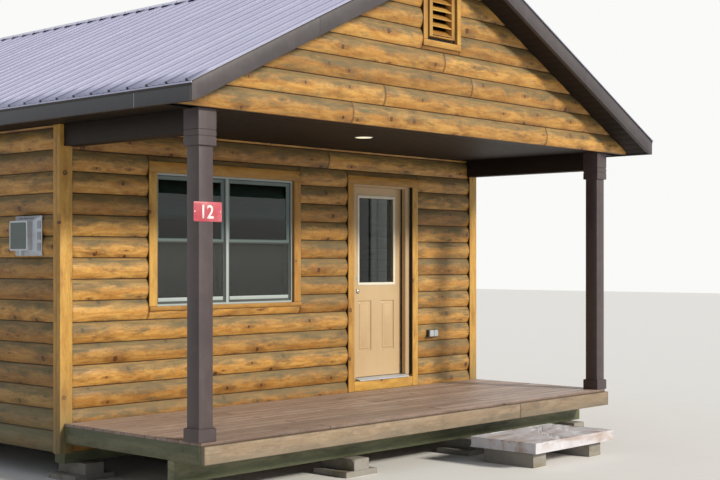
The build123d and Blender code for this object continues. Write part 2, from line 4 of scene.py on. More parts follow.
import bmesh
import bpy
import numpy as np
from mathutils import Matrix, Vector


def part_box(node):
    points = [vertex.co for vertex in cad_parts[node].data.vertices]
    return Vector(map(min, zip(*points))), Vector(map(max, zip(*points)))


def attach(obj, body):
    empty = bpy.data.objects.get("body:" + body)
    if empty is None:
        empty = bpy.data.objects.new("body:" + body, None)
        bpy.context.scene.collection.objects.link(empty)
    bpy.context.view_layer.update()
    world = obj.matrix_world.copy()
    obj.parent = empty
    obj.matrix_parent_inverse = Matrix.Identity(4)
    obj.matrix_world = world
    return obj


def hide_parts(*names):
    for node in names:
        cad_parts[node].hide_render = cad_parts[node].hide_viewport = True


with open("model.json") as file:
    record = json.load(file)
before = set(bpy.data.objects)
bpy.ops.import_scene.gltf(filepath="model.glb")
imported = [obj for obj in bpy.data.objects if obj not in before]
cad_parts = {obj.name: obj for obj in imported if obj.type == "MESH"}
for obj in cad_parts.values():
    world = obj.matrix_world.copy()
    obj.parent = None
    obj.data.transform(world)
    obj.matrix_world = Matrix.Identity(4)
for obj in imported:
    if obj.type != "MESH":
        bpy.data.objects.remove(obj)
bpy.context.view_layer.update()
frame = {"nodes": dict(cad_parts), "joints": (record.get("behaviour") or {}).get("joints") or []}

# %% [markdown]
# # A log cabin, dressed
#
# The CAD frame holds the cabin's solids: walls with one arc for each log, flat roof planes, plain
# boards. This lesson puts the real surfaces over them, one kind of work at a time. Everything is
# in metres, Z up, with X along the front and Y from the porch into the house.
#
# First the measurements. The lines of the building are read from the CAD nodes, so that the
# dressing stays in place if a size of the frame changes.


def span(node):
    """Lowest and highest corner of a CAD node as arrays."""
    low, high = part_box(node)
    return np.array(low), np.array(high)


log_crest = 0.038
groove = 0.005
log_pitch = 0.184
trim_face = 0.044
trim_width = 0.092
half_frame = span("deck_front_board")[1][0]
front_y = span("deck_front_board")[0][1]
wall_y = span("front_wall_right")[0][1] + log_crest
back_y = span("back_wall")[1][1] - log_crest
siding_base = span("left_wall")[0][2]
ceiling_z = span("left_wall")[1][2]
deck_top = span("porch_deck")[1][2]
floor_top = span("house_floor")[1][2]
slope = 0.49
slope_length = math.hypot(1, slope)
ridge_z = span("roof_sheathing")[1][2] + 0.0027
half_eave = span("eave_fascias")[1][0]
print("walls", wall_y, back_y, "siding from", siding_base, "to", ceiling_z, "ridge", ridge_z)


# %% [markdown]
# Nearly every piece of a cabin is long and has the same section from end to end: a log, a deck
# board, a strip of soffit. So the main tool is a skin stretched over rings of points. It takes
# many bodies at once, as one array, and closes both ends of each.

# %% Skins over rings of points
def enclosed(points, quads):
    """Six times the volume that the quads of each body enclose. It is the sum of a . (b x c)
    over their triangles, and it is negative where a body is inside out."""
    a, b, c, d = (points[quads[..., corner]] for corner in range(4))
    return (np.cross(b, c) * a).sum((1, 2)) + (np.cross(c, d) * a).sum((1, 2))


def skin(points):
    """Faces for bodies made of rings: quads join ring r to ring r + 1, and a flat cap closes
    each end. The array is bodies x rings x points x 3. The faces of a body that is inside out
    are turned round."""
    count, rings, around, _ = points.shape
    index = np.arange(count * rings * around).reshape(count, rings, around)
    after = np.roll(index, -1, axis=2)
    quads = np.stack([index[:, :-1], after[:, :-1], after[:, 1:], index[:, 1:]], axis=-1)
    quads = quads.reshape(count, -1, 4)
    caps = np.stack([index[:, 0, ::-1], index[:, -1]], axis=1)
    flat = points.reshape(-1, 3) - points.mean(axis=(0, 1, 2))
    ends = flat[caps]
    fan = np.cross(ends[:, :, 1:-1], ends[:, :, 2:]) * ends[:, :, :1]
    wrong = enclosed(flat, quads) + fan.sum((1, 2, 3)) < 0
    quads[wrong] = quads[wrong][..., ::-1]
    caps[wrong] = caps[wrong][..., ::-1]
    return quads.reshape(-1, 4), caps.reshape(-1, around)


print("two square rings give", *map(len, skin(np.zeros((1, 2, 4, 3)))), "sides and caps")


# %% [markdown]
# Each piece of the cabin becomes one object, which rides on the cabin or on its door. It names
# the CAD nodes that it stands for. One function does this for all of them, so that no piece is
# left without.

# %% Finished pieces
def linked(name, data):
    """A new object in the scene. It stays at the origin, because the place is in its mesh."""
    made = bpy.data.objects.new(name, data)
    bpy.context.scene.collection.objects.link(made)
    return made


def piece(name, points, faces, material, body="cabin", nodes="", slot=None,
          grain=None, board=None, sharp=38):
    """A finished object from arrays. It stands for the CAD nodes named in `nodes`. Edges
    steeper than the sharp angle stay crisp."""
    mesh = bpy.data.meshes.new(name)
    mesh.from_pydata(points.reshape(-1, 3).tolist(), [],
                     [face for block in faces for face in block.tolist()])
    for label, values in (("grain", grain), ("board", board)):
        if values is not None:
            held = mesh.attributes.new(label, "FLOAT_VECTOR", "POINT")
            held.data.foreach_set("vector", values.astype(np.float32).ravel())
    mesh.validate()
    mesh.shade_smooth()
    mesh.set_sharp_from_angle(angle=math.radians(sharp))
    made = linked(name, mesh)
    mesh.materials.append(material)
    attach(made, body)
    if nodes:
        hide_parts(*nodes.split())
    print(name, len(mesh.vertices), "points", len(mesh.polygons), "faces")
    return made


def joined(name, blocks, material, **facts):
    """One piece from several arrays of rings, each with its own skin."""
    points, faces, at = [], [], 0
    for block in blocks:
        faces += [part + at for part in skin(block)]
        points.append(block.reshape(-1, 3))
        at += block.size // 3
    return piece(name, np.concatenate(points), faces, material, **facts)


print("nodes to stand for:", len(frame["nodes"]))


# %% [markdown]
# A board is a section carried along a straight line, and one call can carry hundreds of them.
# Two attributes go along with the points. `grain` is the place inside the board, so that wood
# figure runs along it, and `board` holds the board's own tone, how high up its face a point
# lies, and how near its end.

# %% Sections carried along lines
def carry(name, starts, ends, outs, outline, material, nose=0.002, step=None, wave=0.0,
          cuts=None, heights=None, seed=1, **facts):
    """Carries a closed outline of (across, out) along many straight lines at once:
    point = start + axis * t + side * across + out * depth, where side = out x axis.
    The first and last rings are drawn in by the nose, which rounds the ends. `cuts` gives each
    outline point its own first and last t, for slanting ends. `wave` moves the surface in and
    out by slow sines along the length."""
    draw = np.random.default_rng(seed)
    starts, ends, outs = (np.atleast_2d(np.array(part, float)) for part in (starts, ends, outs))
    count = len(starts)
    outs = np.broadcast_to(outs, (count, 3))
    outline = np.broadcast_to(np.array(outline, float), (count,) + np.shape(outline)[-2:])
    length = np.linalg.norm(ends - starts, axis=1)
    axis = (ends - starts) / length[:, None]
    side = np.cross(outs, axis)
    middle = (outline.max(1) + outline.min(1)) / 2
    half = (outline.max(1) - outline.min(1)) / 2
    stations = 1 if step is None else max(1, int(length.max() / step))
    inner = np.linspace(0, 1, stations + 1)
    first = np.zeros(outline.shape[:2]) if cuts is None else cuts[..., 0]
    last = np.repeat(length[:, None], outline.shape[1], 1) if cuts is None else cuts[..., 1]
    along = first[:, None] + nose + (last - first - 2 * nose)[:, None] * inner[None, :, None]
    along = np.concatenate([first[:, None], along, last[:, None]], axis=1)
    shrink = 1 - nose / np.maximum(half, nose * 1.5)
    section = np.repeat(outline[:, None], along.shape[1], 1)
    section[:, [0, -1]] = (middle[:, None] + (outline - middle[:, None]) * shrink[:, None])[:, None]
    points = (starts[:, None, None] + axis[:, None, None] * along[..., None]
              + side[:, None, None] * section[..., :1] + outs[:, None, None] * section[..., 1:])
    phase = draw.uniform(0, 20, (count, 1, 1))
    if wave:
        swell = (np.sin(along * 2.3 + phase) + np.sin(along * 5.9 + phase * 1.7) * 0.6
                 + np.sin(along * 11.0 + section[..., 0] * 14 + phase * 2.9) * 0.4)
        lift = wave * swell * (section[..., 1] > middle[:, None, None, 1])
        points += outs[:, None, None] * lift[..., None]
    tone = np.broadcast_to(draw.uniform(0, 1, (count, 1, 1)), along.shape)
    if heights is None:
        rise = outline[..., 0] - outline[..., 0].min(1, keepdims=True)
        heights = rise / np.maximum(2 * half[:, :1], 1e-6)
    high = np.repeat(heights[:, None], along.shape[1], 1)
    near = np.minimum(along - first[:, None], last[:, None] - along)
    grain = np.stack([along + phase, section[..., 0] + phase * 1.31, section[..., 1]], -1)
    board = np.stack([tone, high, near], -1)
    return piece(name, points, skin(points), material, grain=grain, board=board, **facts)


# %% [markdown]
# Sawn lumber has softened edges, which catch a thin line of light. A rectangle with rounded
# corners, carried along the longest side of a box, gives every plain board in this scene.

# %% Boards
def rounded(half_x, half_y, radius, steps):
    """Outline of a rectangle with round corners: corner centre + radius * (cos, sin), at the
    angles of the steps in each quarter."""
    turn = np.radians(np.concatenate([np.array(steps) + 90 * quarter for quarter in range(4)]))
    sign_x = np.repeat([1, -1, -1, 1], len(steps))
    sign_y = np.repeat([1, 1, -1, -1], len(steps))
    return (sign_x * (half_x - radius) + radius * np.cos(turn),
            sign_y * (half_y - radius) + radius * np.sin(turn))


def boards(name, boxes, material, radius=0.003, **facts):
    """Boards with rounded edges from rows of x0, x1, y0, y1, z0, z1. The grain runs along the
    longest side, and the thinnest side is the board's thickness."""
    boxes = np.array(boxes, float).reshape(-1, 3, 2)
    low, high = boxes.min(2), boxes.max(2)
    size = high - low
    order = np.argsort(-size, axis=1, kind="stable")
    axis, wide, out = (np.eye(3)[order[:, place]] for place in range(3))
    half_wide = (size * wide).sum(1, keepdims=True) / 2
    half_out = (size * out).sum(1, keepdims=True) / 2
    middle = (low + high) / 2
    reach = axis * (size * axis).sum(1, keepdims=True) / 2
    bend = np.minimum(radius, np.minimum(half_wide, half_out) * 0.45)
    outline = np.stack(rounded(half_wide, half_out, bend, (0, 45, 90)), -1)
    return carry(name, middle - reach, middle + reach, out, outline, material,
                 nose=min(radius, 0.003), **facts)


print("a board's section has", rounded(0.07, 0.02, 0.003, (0, 45, 90))[0].size, "points")


# %% [markdown]
# Knobs, screws and the lamp are turned on a lathe: a line of radii and heights goes round an
# axis. Collars and small housings do the same round a square with rounded corners. One function
# does both, because only the shape of the ring differs.

# %% Turned and stacked shapes
quarter_steps = (0, 30, 60, 90)


def rings_round(centres, axis, profile, halves=None, sides=12, corner=0.003):
    """Rings stacked along an axis at the profile's (radius, height) points. Without halves a
    ring is a circle: centre + axis * height + radius * (cos, sin). With halves (x, y) it is a
    rectangle of those half sizes plus the radius, its corners rounded."""
    centres = np.atleast_2d(np.array(centres, float))
    profile = np.array(profile, float)
    axis = np.array(axis, float)
    first = np.cross(axis, [0, 0, 1]) if abs(axis[2]) < 0.9 else np.array([1.0, 0, 0])
    first /= np.linalg.norm(first)
    second = np.cross(axis, first)
    radius = profile[:, :1]
    if halves is None:
        turn = np.linspace(0, 2 * np.pi, sides, endpoint=False)
        flat_x, flat_y = radius * np.cos(turn), radius * np.sin(turn)
    else:
        flat_x, flat_y = rounded(halves[0] + radius, halves[1] + radius, corner, quarter_steps)
    ring = (flat_x[..., None] * first + flat_y[..., None] * second
            + profile[:, 1][:, None, None] * axis)
    return centres[:, None, None] + ring[None]


def turned(name, centres, axis, profile, material, halves=None, sides=12, corner=0.003,
           sharp=30, **facts):
    """Rings round an axis, each joined to the next, as one piece."""
    return joined(name, [rings_round(centres, axis, profile, halves, sides, corner)], material,
                  sharp=sharp, **facts)


print("rings of a short tube:", rings_round((0, 0, 0), (0, 0, 1), [(1, 0), (1, 1)]).shape)


# %% [markdown]
# Frames round glass are moulded: a small section goes round a rectangle and is mitred at the
# corners. The section is a list of (inwards, forwards) steps. A point of the section at a corner
# is the corner moved inwards along both sides by the same amount, which is what a mitre is.

# %% Mitred frames
def mitred(name, frames, section, material, out=(0, -1, 0), slot="window_vinyl", **facts):
    """Carries a section round rectangles (x0, x1, y, z0, z1): at each of the four corners,
    point = corner + inwards * (toward the middle in x and z) + out * forwards. The ring of four
    corners is closed, so the faces wrap both ways."""
    frames = np.array(frames, float).reshape(-1, 5)
    section = np.array(section, float)
    x = frames[:, [0, 1, 1, 0]][:, :, None] + np.array([1, -1, -1, 1])[:, None] * section[:, 0]
    z = frames[:, [3, 3, 4, 4]][:, :, None] + np.array([1, 1, -1, -1])[:, None] * section[:, 0]
    y = np.broadcast_to(frames[:, 2, None, None] + out[1] * section[:, 1], x.shape)
    points = np.stack([x, y, z], -1)
    index = np.arange(x.size).reshape(x.shape)
    next_corner = np.roll(index, -1, axis=1)
    quads = np.stack([index, np.roll(index, -1, 2), np.roll(next_corner, -1, 2), next_corner], -1)
    quads = quads.reshape(len(frames), -1, 4)
    wrong = enclosed(points.reshape(-1, 3), quads) < 0
    quads[wrong] = quads[wrong][..., ::-1]
    return piece(name, points, (quads.reshape(-1, 4),), material, slot=slot, **facts)


print("the window frame goes from", *np.round(span("window_frame"), 3))


# %% [markdown]
# ## Finishes
#
# The colours are worked out for plain studio light. A display colour is easier to judge
# than the linear numbers that the shader wants, so a helper turns one into the other.

# %% Colours and node helpers
Socket = bpy.types.NodeSocket


def shade(red, green, blue):
    """Display numbers from 0 to 255 to linear light: ((c + 0.055) / 1.055) ** 2.4."""
    parts = np.array([red, green, blue]) / 255
    linear = np.where(parts > 0.04045, ((parts + 0.055) / 1.055) ** 2.4, parts / 12.92)
    return (*linear.tolist(), 1.0)


def settings(node, values):
    """Links each socket of a node, or writes a plain value into it. Sockets go by name or by
    number."""
    for label, value in values.items():
        socket = node.inputs[label]
        if isinstance(value, Socket):
            socket.id_data.links.new(value, socket)
        else:
            socket.default_value = value


def node_beside(kind, values, **choices):
    """A new node in the tree that the first linked value belongs to, with its menus chosen."""
    tree = next(value.id_data for value in values.values() if isinstance(value, Socket))
    node = tree.nodes.new(f"ShaderNode{kind}")
    for menu, choice in choices.items():
        setattr(node, menu, choice)
    settings(node, values)
    return node


def calc(operation, *values):
    """A Math node: the operation on its values."""
    return node_beside("Math", dict(enumerate(values)), operation=operation).outputs[0]


def times(*values):
    """The product of two values."""
    return calc("MULTIPLY", *values)


def plus(*values):
    """The sum of two values."""
    return calc("ADD", *values)


def tint(amount, first, second, way="MIX"):
    """A colour between two, or one laid over the other."""
    return node_beside("Mix", {0: amount, 6: first, 7: second}, data_type="RGBA",
                       blend_type=way).outputs[2]


def between(value, low, high, first=0.0, last=1.0):
    """Eases from first to last as the value goes from low to high."""
    return node_beside("MapRange", dict(enumerate((value, low, high, first, last))),
                       interpolation_type="SMOOTHSTEP").outputs[0]


def scaled(vector, *factors):
    """Each axis of a vector times its own factor."""
    return node_beside("VectorMath", {0: vector, 1: factors}, operation="MULTIPLY").outputs[0]


def parts_of(vector):
    """X, Y and Z of a vector, or the three parts of a colour."""
    return node_beside("SeparateXYZ", {0: vector}).outputs


def noise(vector, scale=1.0, detail=3.0, rough=0.55, twist=0.0):
    """Smooth random values round 0.5 that change from place to place."""
    return node_beside("TexNoise", {
        "Vector": vector, "Scale": scale, "Detail": detail, "Roughness": rough,
        "Distortion": twist}).outputs[0]


def effect(name, takes):
    """A shader node group with named sockets. Returns it with its inner ends."""
    group = bpy.data.node_groups.new(name, "ShaderNodeTree")
    gives = {"Colour": "Color", "Roughness": "Float", "Height": "Float"}
    for way, sockets in (("INPUT", takes), ("OUTPUT", gives)):
        for label, kind in sockets.items():
            group.interface.new_socket(label, in_out=way, socket_type=f"NodeSocket{kind}")
    given = group.nodes.new("NodeGroupInput").outputs
    return group, given, group.nodes.new("NodeGroupOutput")


print("a mid brown in linear light", np.round(shade(180, 124, 54), 3))


# %% [markdown]
# Stained pine is the cabin's main finish. Its figure has three scales: the cathedral lines of
# the year rings, short dark fibres, and knots. A knot is found as the nearest point of a random
# lattice laid in the board's own plane, and the true distance to it, in metres, gives a round
# dark core, a ring and a long soft halo. The rings bend round the knots, because the distance
# also pushes their phase. The upper half of each log is greyed and darkened, partly weather and
# partly painted shade on the face that looks up, and the lower half stays warm. Near the ground,
# splashed rain keeps the wood damp, and a thin green-grey film grows on it. The joints between
# courses and the board ends darken, partly grime and partly painted shade in the creases.

# %% Pine effect
def pine_effect():
    """Rings and fibres, then knots, weather and painted top shade, damp, grime and painted joint shade.
    """
    group, given, result = effect("pine", {
        "Grain": "Vector", "Board": "Vector", "Warm": "Color", "Pale": "Color", "Dark": "Color",
        "Knot": "Color", "Grey": "Color", "Knots": "Float", "Weather": "Float",
        "Joint": "Float", "Damp": "Float"})
    grain, dark, knot = given["Grain"], given["Dark"], given["Knot"]
    tone, height_up, near_end = parts_of(given["Board"])

    def figure(along, across, detail, rough, twist=0.0):
        """Noise stretched along the grain."""
        return noise(scaled(grain, along, across, across), 1.0, detail, rough, twist)

    def distance(x, y):
        """sqrt(x^2 + y^2)."""
        return calc("SQRT", plus(calc("POWER", x, 2.0), calc("POWER", y, 2.0)))

    # Knots: a lattice with so many cells to the metre, along and across.
    knots_along, knots_across = 2.1, 7.2
    lattice = scaled(grain, knots_along, knots_across, 0.0)
    cell = node_beside("TexVoronoi", {"Vector": lattice, "Scale": 1.0}, voronoi_dimensions="2D")
    gap = node_beside("VectorMath", {0: lattice, 1: cell.outputs["Position"]},
                      operation="SUBTRACT").outputs[0]
    away = parts_of(scaled(gap, 1 / knots_along, 1 / knots_across, 0.0))
    ragged = times(calc("SUBTRACT", noise(grain, 55.0), 0.5), 0.016)
    round_way = plus(distance(away[0], away[1]), ragged)
    long_way = distance(times(away[0], 0.26), away[1])
    chance = parts_of(cell.outputs["Color"])
    kept = calc("LESS_THAN", chance[0], given["Knots"])
    radius = calc("MULTIPLY_ADD", calc("POWER", chance[1], 2.0), 0.016, 0.005)
    ratio = calc("DIVIDE", round_way, radius)
    core = times(kept, between(ratio, 0.8, 1.15, 1.0, 0.0))
    off_ring = calc("ABSOLUTE", calc("SUBTRACT", ratio, 1.0))
    ring = times(kept, between(off_ring, 0.08, 0.4, 1.0, 0.0))
    halo = times(kept, between(calc("DIVIDE", long_way, radius), 0.8, 3.2, 1.0, 0.0))

    # Year rings, fibres and darker patches.
    push = times(kept, calc("DIVIDE", 0.008, plus(long_way, 0.014)))
    phase = times(plus(figure(0.7, 6.0, 3.0, 0.55), push), 42.0)
    lines = calc("MULTIPLY_ADD", calc("SINE", phase), 0.5, 0.5)
    fibre = figure(5.0, 190.0, 3.0, 0.65)
    blotch = figure(3.4, 11.0, 6.0, 0.72, 0.25)
    mottle = figure(28.0, 75.0, 5.0, 0.7, 0.2)
    base = tint(calc("MULTIPLY_ADD", lines, 0.5, times(fibre, 0.45)), given["Pale"], given["Warm"])
    base = tint(between(blotch, 0.44, 0.74, 0.0, 0.7), base, dark)
    base = tint(between(mottle, 0.5, 0.72, 0.0, 0.5), base, dark)
    deeper = between(tone, 0.0, 1.0, 0.0, 0.75)
    base = tint(deeper, base, tint(0.6, base, dark, "MULTIPLY"))
    base = tint(times(halo, 0.6), base, dark)
    heart = tint(calc("MULTIPLY_ADD", chance[2], 0.6, 0.15), dark, knot)
    base = tint(times(core, 0.95), base, heart)
    base = tint(times(ring, 0.9), base, knot)

    # Weather and painted shade on the upper half, damp from below, and grime with painted shade in the
    # joints.
    streak = figure(3.0, 40.0, 4.0, 0.65)
    # The upper half is greyed: partly weather, partly painted shade where the face looks up.
    upper = between(plus(height_up, times(calc("SUBTRACT", blotch, 0.5), 1.3)), 0.34, 0.8)
    weather_and_top_shade = times(times(upper, between(streak, 0.25, 0.75, 0.45, 1.0)), given["Weather"])
    patch = between(figure(2.0, 8.0, 6.0, 0.72, 0.3), 0.5, 0.68, 0.0, 0.6)
    weather_and_top_shade = calc("MAXIMUM", weather_and_top_shade, times(patch, given["Weather"]))
    base = tint(weather_and_top_shade, base, given["Grey"])
    soaked = times(given["Damp"], between(blotch, 0.35, 0.65, 0.95, 0.5))
    base = tint(soaked, base, shade(92, 98, 76))
    # Darker along the joints and board ends: partly grime, partly painted shade in the creases.
    seam = calc("MINIMUM", height_up, calc("SUBTRACT", 1.0, height_up))
    joint_grime_and_shade = calc("MAXIMUM", between(seam, 0.006, 0.045, 0.9, 0.0),
                 between(near_end, 0.002, 0.02, 0.6, 0.0))
    colour = tint(times(joint_grime_and_shade, given["Joint"]), base, knot)
    rough = calc("MULTIPLY_ADD", weather_and_top_shade, 0.25, calc("MULTIPLY_ADD", streak, 0.22, 0.34))
    relief = calc("MULTIPLY_ADD", fibre, 0.5, times(lines, 0.35))
    settings(result, {"Colour": colour, "Roughness": rough,
                      "Height": calc("MULTIPLY_ADD", core, -0.7, relief)})
    return group


pine = pine_effect()
print("pine effect", len(pine.nodes), "nodes")


# %% [markdown]
# A material places the effect, sets its own colours and feeds the shader. The bump distance is
# small, because sawn and stained wood is nearly smooth: the grain only catches the light.

# %% Wood materials
def shader_of(name):
    """A new material, its node tree and its shader."""
    material = bpy.data.materials.new(name)
    material.use_nodes = True
    tree = material.node_tree
    return material, tree, tree.nodes["Principled BSDF"]


def place_effect(tree, shader, group, values, bump, distance):
    """Puts a group into a material and joins its colour, roughness and height."""
    node = tree.nodes.new("ShaderNodeGroup")
    node.node_tree = group
    settings(node, values)
    colour, rough, height = node.outputs
    relief = tree.nodes.new("ShaderNodeBump")
    settings(relief, {"Strength": bump, "Distance": distance, "Height": height})
    settings(shader, {"Base Color": colour, "Roughness": rough, "Normal": relief.outputs[0]})


def object_place(tree):
    """The place of the point, in metres."""
    return tree.nodes.new("ShaderNodeTexCoord").outputs["Object"]


def attribute(tree, name):
    """The values that a piece keeps with its points."""
    source = tree.nodes.new("ShaderNodeAttribute")
    source.attribute_name = name
    return source.outputs["Vector"]


def wood(name, colours, knots=0.5, top_shade_and_weather=0.6, joint=1.0, damp=0.0):
    """Wood in five display colours: warm, pale, dark, knot and grey. The damp film fades out
    from 0.25 m to 1.1 m above the ground."""
    material, tree, shader = shader_of(name)
    values = {label: shade(*colour) for label, colour in
              zip(("Warm", "Pale", "Dark", "Knot", "Grey"), colours)}
    values |= {"Knots": knots, "Weather": top_shade_and_weather, "Joint": joint, "Damp": 0.0,
               "Grain": attribute(tree, "grain"), "Board": attribute(tree, "board")}
    if damp:
        values["Damp"] = between(parts_of(object_place(tree))[2], 0.25, 1.1, damp, 0.0)
    place_effect(tree, shader, pine, values, 0.5, 0.0012)
    settings(shader, {"Specular IOR Level": 0.35})
    return material


knot_brown = (58, 28, 14)
log_shades = ((180, 124, 54), (214, 168, 92), (110, 70, 32), knot_brown, (98, 94, 68))
log_pine = wood("log pine", log_shades, 0.85, 0.95)
open_pine = wood("open log pine", log_shades, 0.85, 0.95, damp=0.9)
trim_shades = ((212, 160, 68), (232, 188, 98), (164, 112, 46), knot_brown, (164, 140, 84))
trim_pine = wood("trim pine", trim_shades, 0.35, 0.25, 0.35)
open_trim = wood("open trim pine", trim_shades, 0.35, 0.25, 0.35, damp=0.9)
deck_wood = wood("weathered decking", (
    (172, 146, 130), (198, 176, 162), (128, 104, 92), (60, 46, 40), (176, 166, 158)), 0.22, 0.6, 0.6)
front_wood = wood("deck front wood", (
    (134, 115, 92), (160, 140, 116), (90, 76, 58), (58, 46, 36), (122, 114, 100)), 0.16, 0.7, 0.5)
green_lumber = wood("treated lumber", (
    (120, 122, 92), (152, 150, 114), (66, 68, 46), (42, 40, 30), (98, 108, 82)), 0.25, 0.8, 0.5)
raw_lumber = wood("raw lumber", (
    (196, 160, 112), (220, 188, 142), (160, 122, 80), (96, 60, 34), (170, 150, 124)), 0.3, 0.1, 0.4)
dark_felt = wood("building paper", (
    (46, 40, 34), (58, 50, 42), (32, 28, 24), (20, 16, 14), (52, 48, 44)), 0.0, 0.2, 0.5)
print("wood materials ready")


# %% [markdown]
# Roof, fascia and post wraps are coil-coated sheet metal. Such sheet is never quite flat: it
# swells slightly between fixings. Dust dulls it in patches, and rain draws pale streaks. One
# effect gives all three, and each material sets its paint and its amount of dust.

# %% Painted metal effect
def metal_effect():
    """Two close colours, then dust in patches, streaks and specks."""
    group, given, result = effect("painted sheet", {
        "Place": "Vector", "Paint": "Color", "Worn": "Color", "Dust": "Color",
        "Dustiness": "Float", "Gloss": "Float"})
    place, dust = given["Place"], given["Dust"]
    broad = noise(place, 1.6, 3.0)
    cloudy = noise(place, 9.0, 5.0, 0.62)
    speck = noise(place, 260.0, 2.0, 0.6)
    streak = noise(scaled(place, 26.0, 26.0, 1.6), 1.0, 4.0, 0.6)
    base = tint(between(broad, 0.3, 0.7), given["Paint"], given["Worn"])
    film = plus(between(cloudy, 0.42, 0.75, 0.0, 0.6), between(streak, 0.5, 0.8, 0.0, 0.5))
    film = times(given["Dustiness"], film)
    base = tint(film, base, dust)
    colour = tint(times(between(speck, 0.62, 0.8), 0.35), base, dust)
    rough = plus(given["Gloss"], times(film, 0.35))
    height = calc("MULTIPLY_ADD", noise(place, 4.5, 2.0), 1.0, times(speck, 0.04))
    settings(result, {"Colour": colour, "Roughness": rough, "Height": height})
    return group


painted = metal_effect()
print("painted sheet effect", len(painted.nodes), "nodes")


# %% [markdown]
# Each metal or moulded part is now one call: its colour, its colour where worn, its dust, how
# much of it, and how rough. Only the roof has its own function, because its rib flanks carry
# painted shade.

# %% Sheet metal finishes
def coated(name, paint, weather_and_top_shade, dust, dustiness, gloss, bump=0.35, metallic=0.0, gleam=0.5):
    """Metal or plastic in three display colours: its own, where worn, and its dust."""
    material, tree, shader = shader_of(name)
    place_effect(tree, shader, painted, {
        "Place": object_place(tree), "Paint": shade(*paint), "Worn": shade(*weather_and_top_shade),
        "Dust": shade(*dust), "Dustiness": dustiness, "Gloss": gloss}, bump, 0.006)
    settings(shader, {"Metallic": metallic, "Specular IOR Level": gleam})
    return material


def roof_finish():
    """Roof paint whose rib flanks are painted darker, as painted shade: `board` x is 1 on a flank."""
    material, tree, shader = shader_of("roof paint")
    flank = parts_of(attribute(tree, "board"))[0]
    # The second colour of each pair is painted shade for the rib flanks.
    values = {label: tint(flank, shade(*plain_paint), shade(*shaded_paint)) for label, plain_paint, shaded_paint in (
        ("Paint", (190, 192, 222), (90, 90, 116)), ("Worn", (196, 198, 226), (98, 98, 124)),
        ("Dust", (208, 208, 222), (116, 116, 134)))}
    values |= {"Place": object_place(tree), "Dustiness": 0.16, "Gloss": 0.34}
    place_effect(tree, shader, painted, values, 0.25, 0.006)
    settings(shader, {"Metallic": 0.15})
    return material


roof_paint = roof_finish()
slate_wrap = coated("slate wrap", (40, 42, 50), (46, 48, 56), (76, 76, 80), 0.22, 0.38)
rake_wrap = coated("rake wrap", (60, 55, 58), (68, 62, 64), (98, 92, 92), 0.3, 0.4)
brown_wrap = coated("brown wrap", (62, 51, 53), (70, 58, 59), (100, 88, 86), 0.3, 0.4)
# Soffit brown darkened nearly to black: painted shade under the eaves and the porch roof.
soffit_brown_and_shade = coated("dark soffit", (32, 25, 20), (37, 29, 23), (54, 45, 38), 0.15, 0.55, gleam=0.2)
# Frame vinyl in grey-green rather than white: painted shade.
vinyl = coated("frame vinyl", (160, 172, 172), (168, 179, 178), (140, 142, 134), 0.25, 0.4, 0.1)
# Sash vinyl darker still: painted shade of the sashes' deep recess.
shaded_sash_vinyl = coated("sash vinyl", (104, 120, 120), (112, 128, 127), (100, 106, 100), 0.3, 0.42, 0.1)
track_dark = coated("track lining", (58, 62, 60), (66, 70, 68), (84, 86, 80), 0.3, 0.5, 0.1)
door_tan = coated("tan door paint", (188, 161, 122), (195, 169, 130), (160, 138, 108), 0.22, 0.34, 0.12)
cream = coated("cream moulding", (214, 208, 190), (220, 215, 198), (184, 174, 148), 0.2, 0.36, 0.08)
satin_steel = coated("satin steel", (198, 190, 176), (206, 199, 186), (150, 140, 124),
                     0.15, 0.26, 0.05, 1.0)
hood_metal = coated("hood metal", (188, 196, 206), (200, 206, 214), (150, 148, 146),
                    0.35, 0.34, 0.15, 0.2)
grille_dark = coated("grille mesh", (104, 116, 114), (112, 124, 120), (128, 132, 126),
                     0.3, 0.42, 0.1, 0.2)
cover_grey = coated("grey cover", (172, 178, 184), (180, 186, 190), (140, 138, 132), 0.3, 0.4, 0.1)
plate_red = coated("plate red", (174, 64, 78), (194, 76, 90), (222, 150, 158), 0.35, 0.32, 0.1)
plate_white = coated("plate white", (238, 234, 228), (232, 226, 220), (206, 190, 182), 0.2, 0.34, 0.05)
screw_zinc = coated("screw heads", (104, 104, 120), (112, 112, 128), (96, 84, 74), 0.35, 0.5, 0.05, 0.1)
print("sheet metal ready")


# %% [markdown]
# Concrete shows clouds of pale and dark, its sand and small air holes, and brown bands where
# water has run. The air holes are darkened as painted shade.

# %% Concrete
def concrete_effect():
    """Clouds and sand, then brown bands, then air holes darkened as painted shade."""
    group, given, result = effect("cast concrete", {
        "Place": "Vector", "Pale": "Color", "Dark": "Color", "Stain": "Color"})
    place, dark = given["Place"], given["Dark"]
    cloudy = noise(place, 5.0, 6.0, 0.65)
    sand = noise(place, 180.0, 3.0, 0.7)
    hole = node_beside("TexVoronoi", {"Vector": place, "Scale": 60.0})
    pit = between(hole.outputs["Distance"], 0.08, 0.2, 1.0, 0.0)
    base = tint(calc("MULTIPLY_ADD", cloudy, 0.8, times(sand, 0.3)), dark, given["Pale"])
    band = noise(scaled(place, 1.7, 6.0, 6.0), 1.0, 5.0, 0.6, 0.5)
    base = tint(between(band, 0.46, 0.68, 0.0, 0.8), base, given["Stain"])
    # Air holes darkened: painted shade in the pits.
    colour = tint(times(pit, 0.5), base, dark)
    rough = calc("MULTIPLY_ADD", sand, 0.2, 0.72)
    height = calc("MULTIPLY_ADD", sand, 0.5, calc("MULTIPLY_ADD", pit, -0.8, cloudy))
    settings(result, {"Colour": colour, "Roughness": rough, "Height": height})
    return group


cast = concrete_effect()


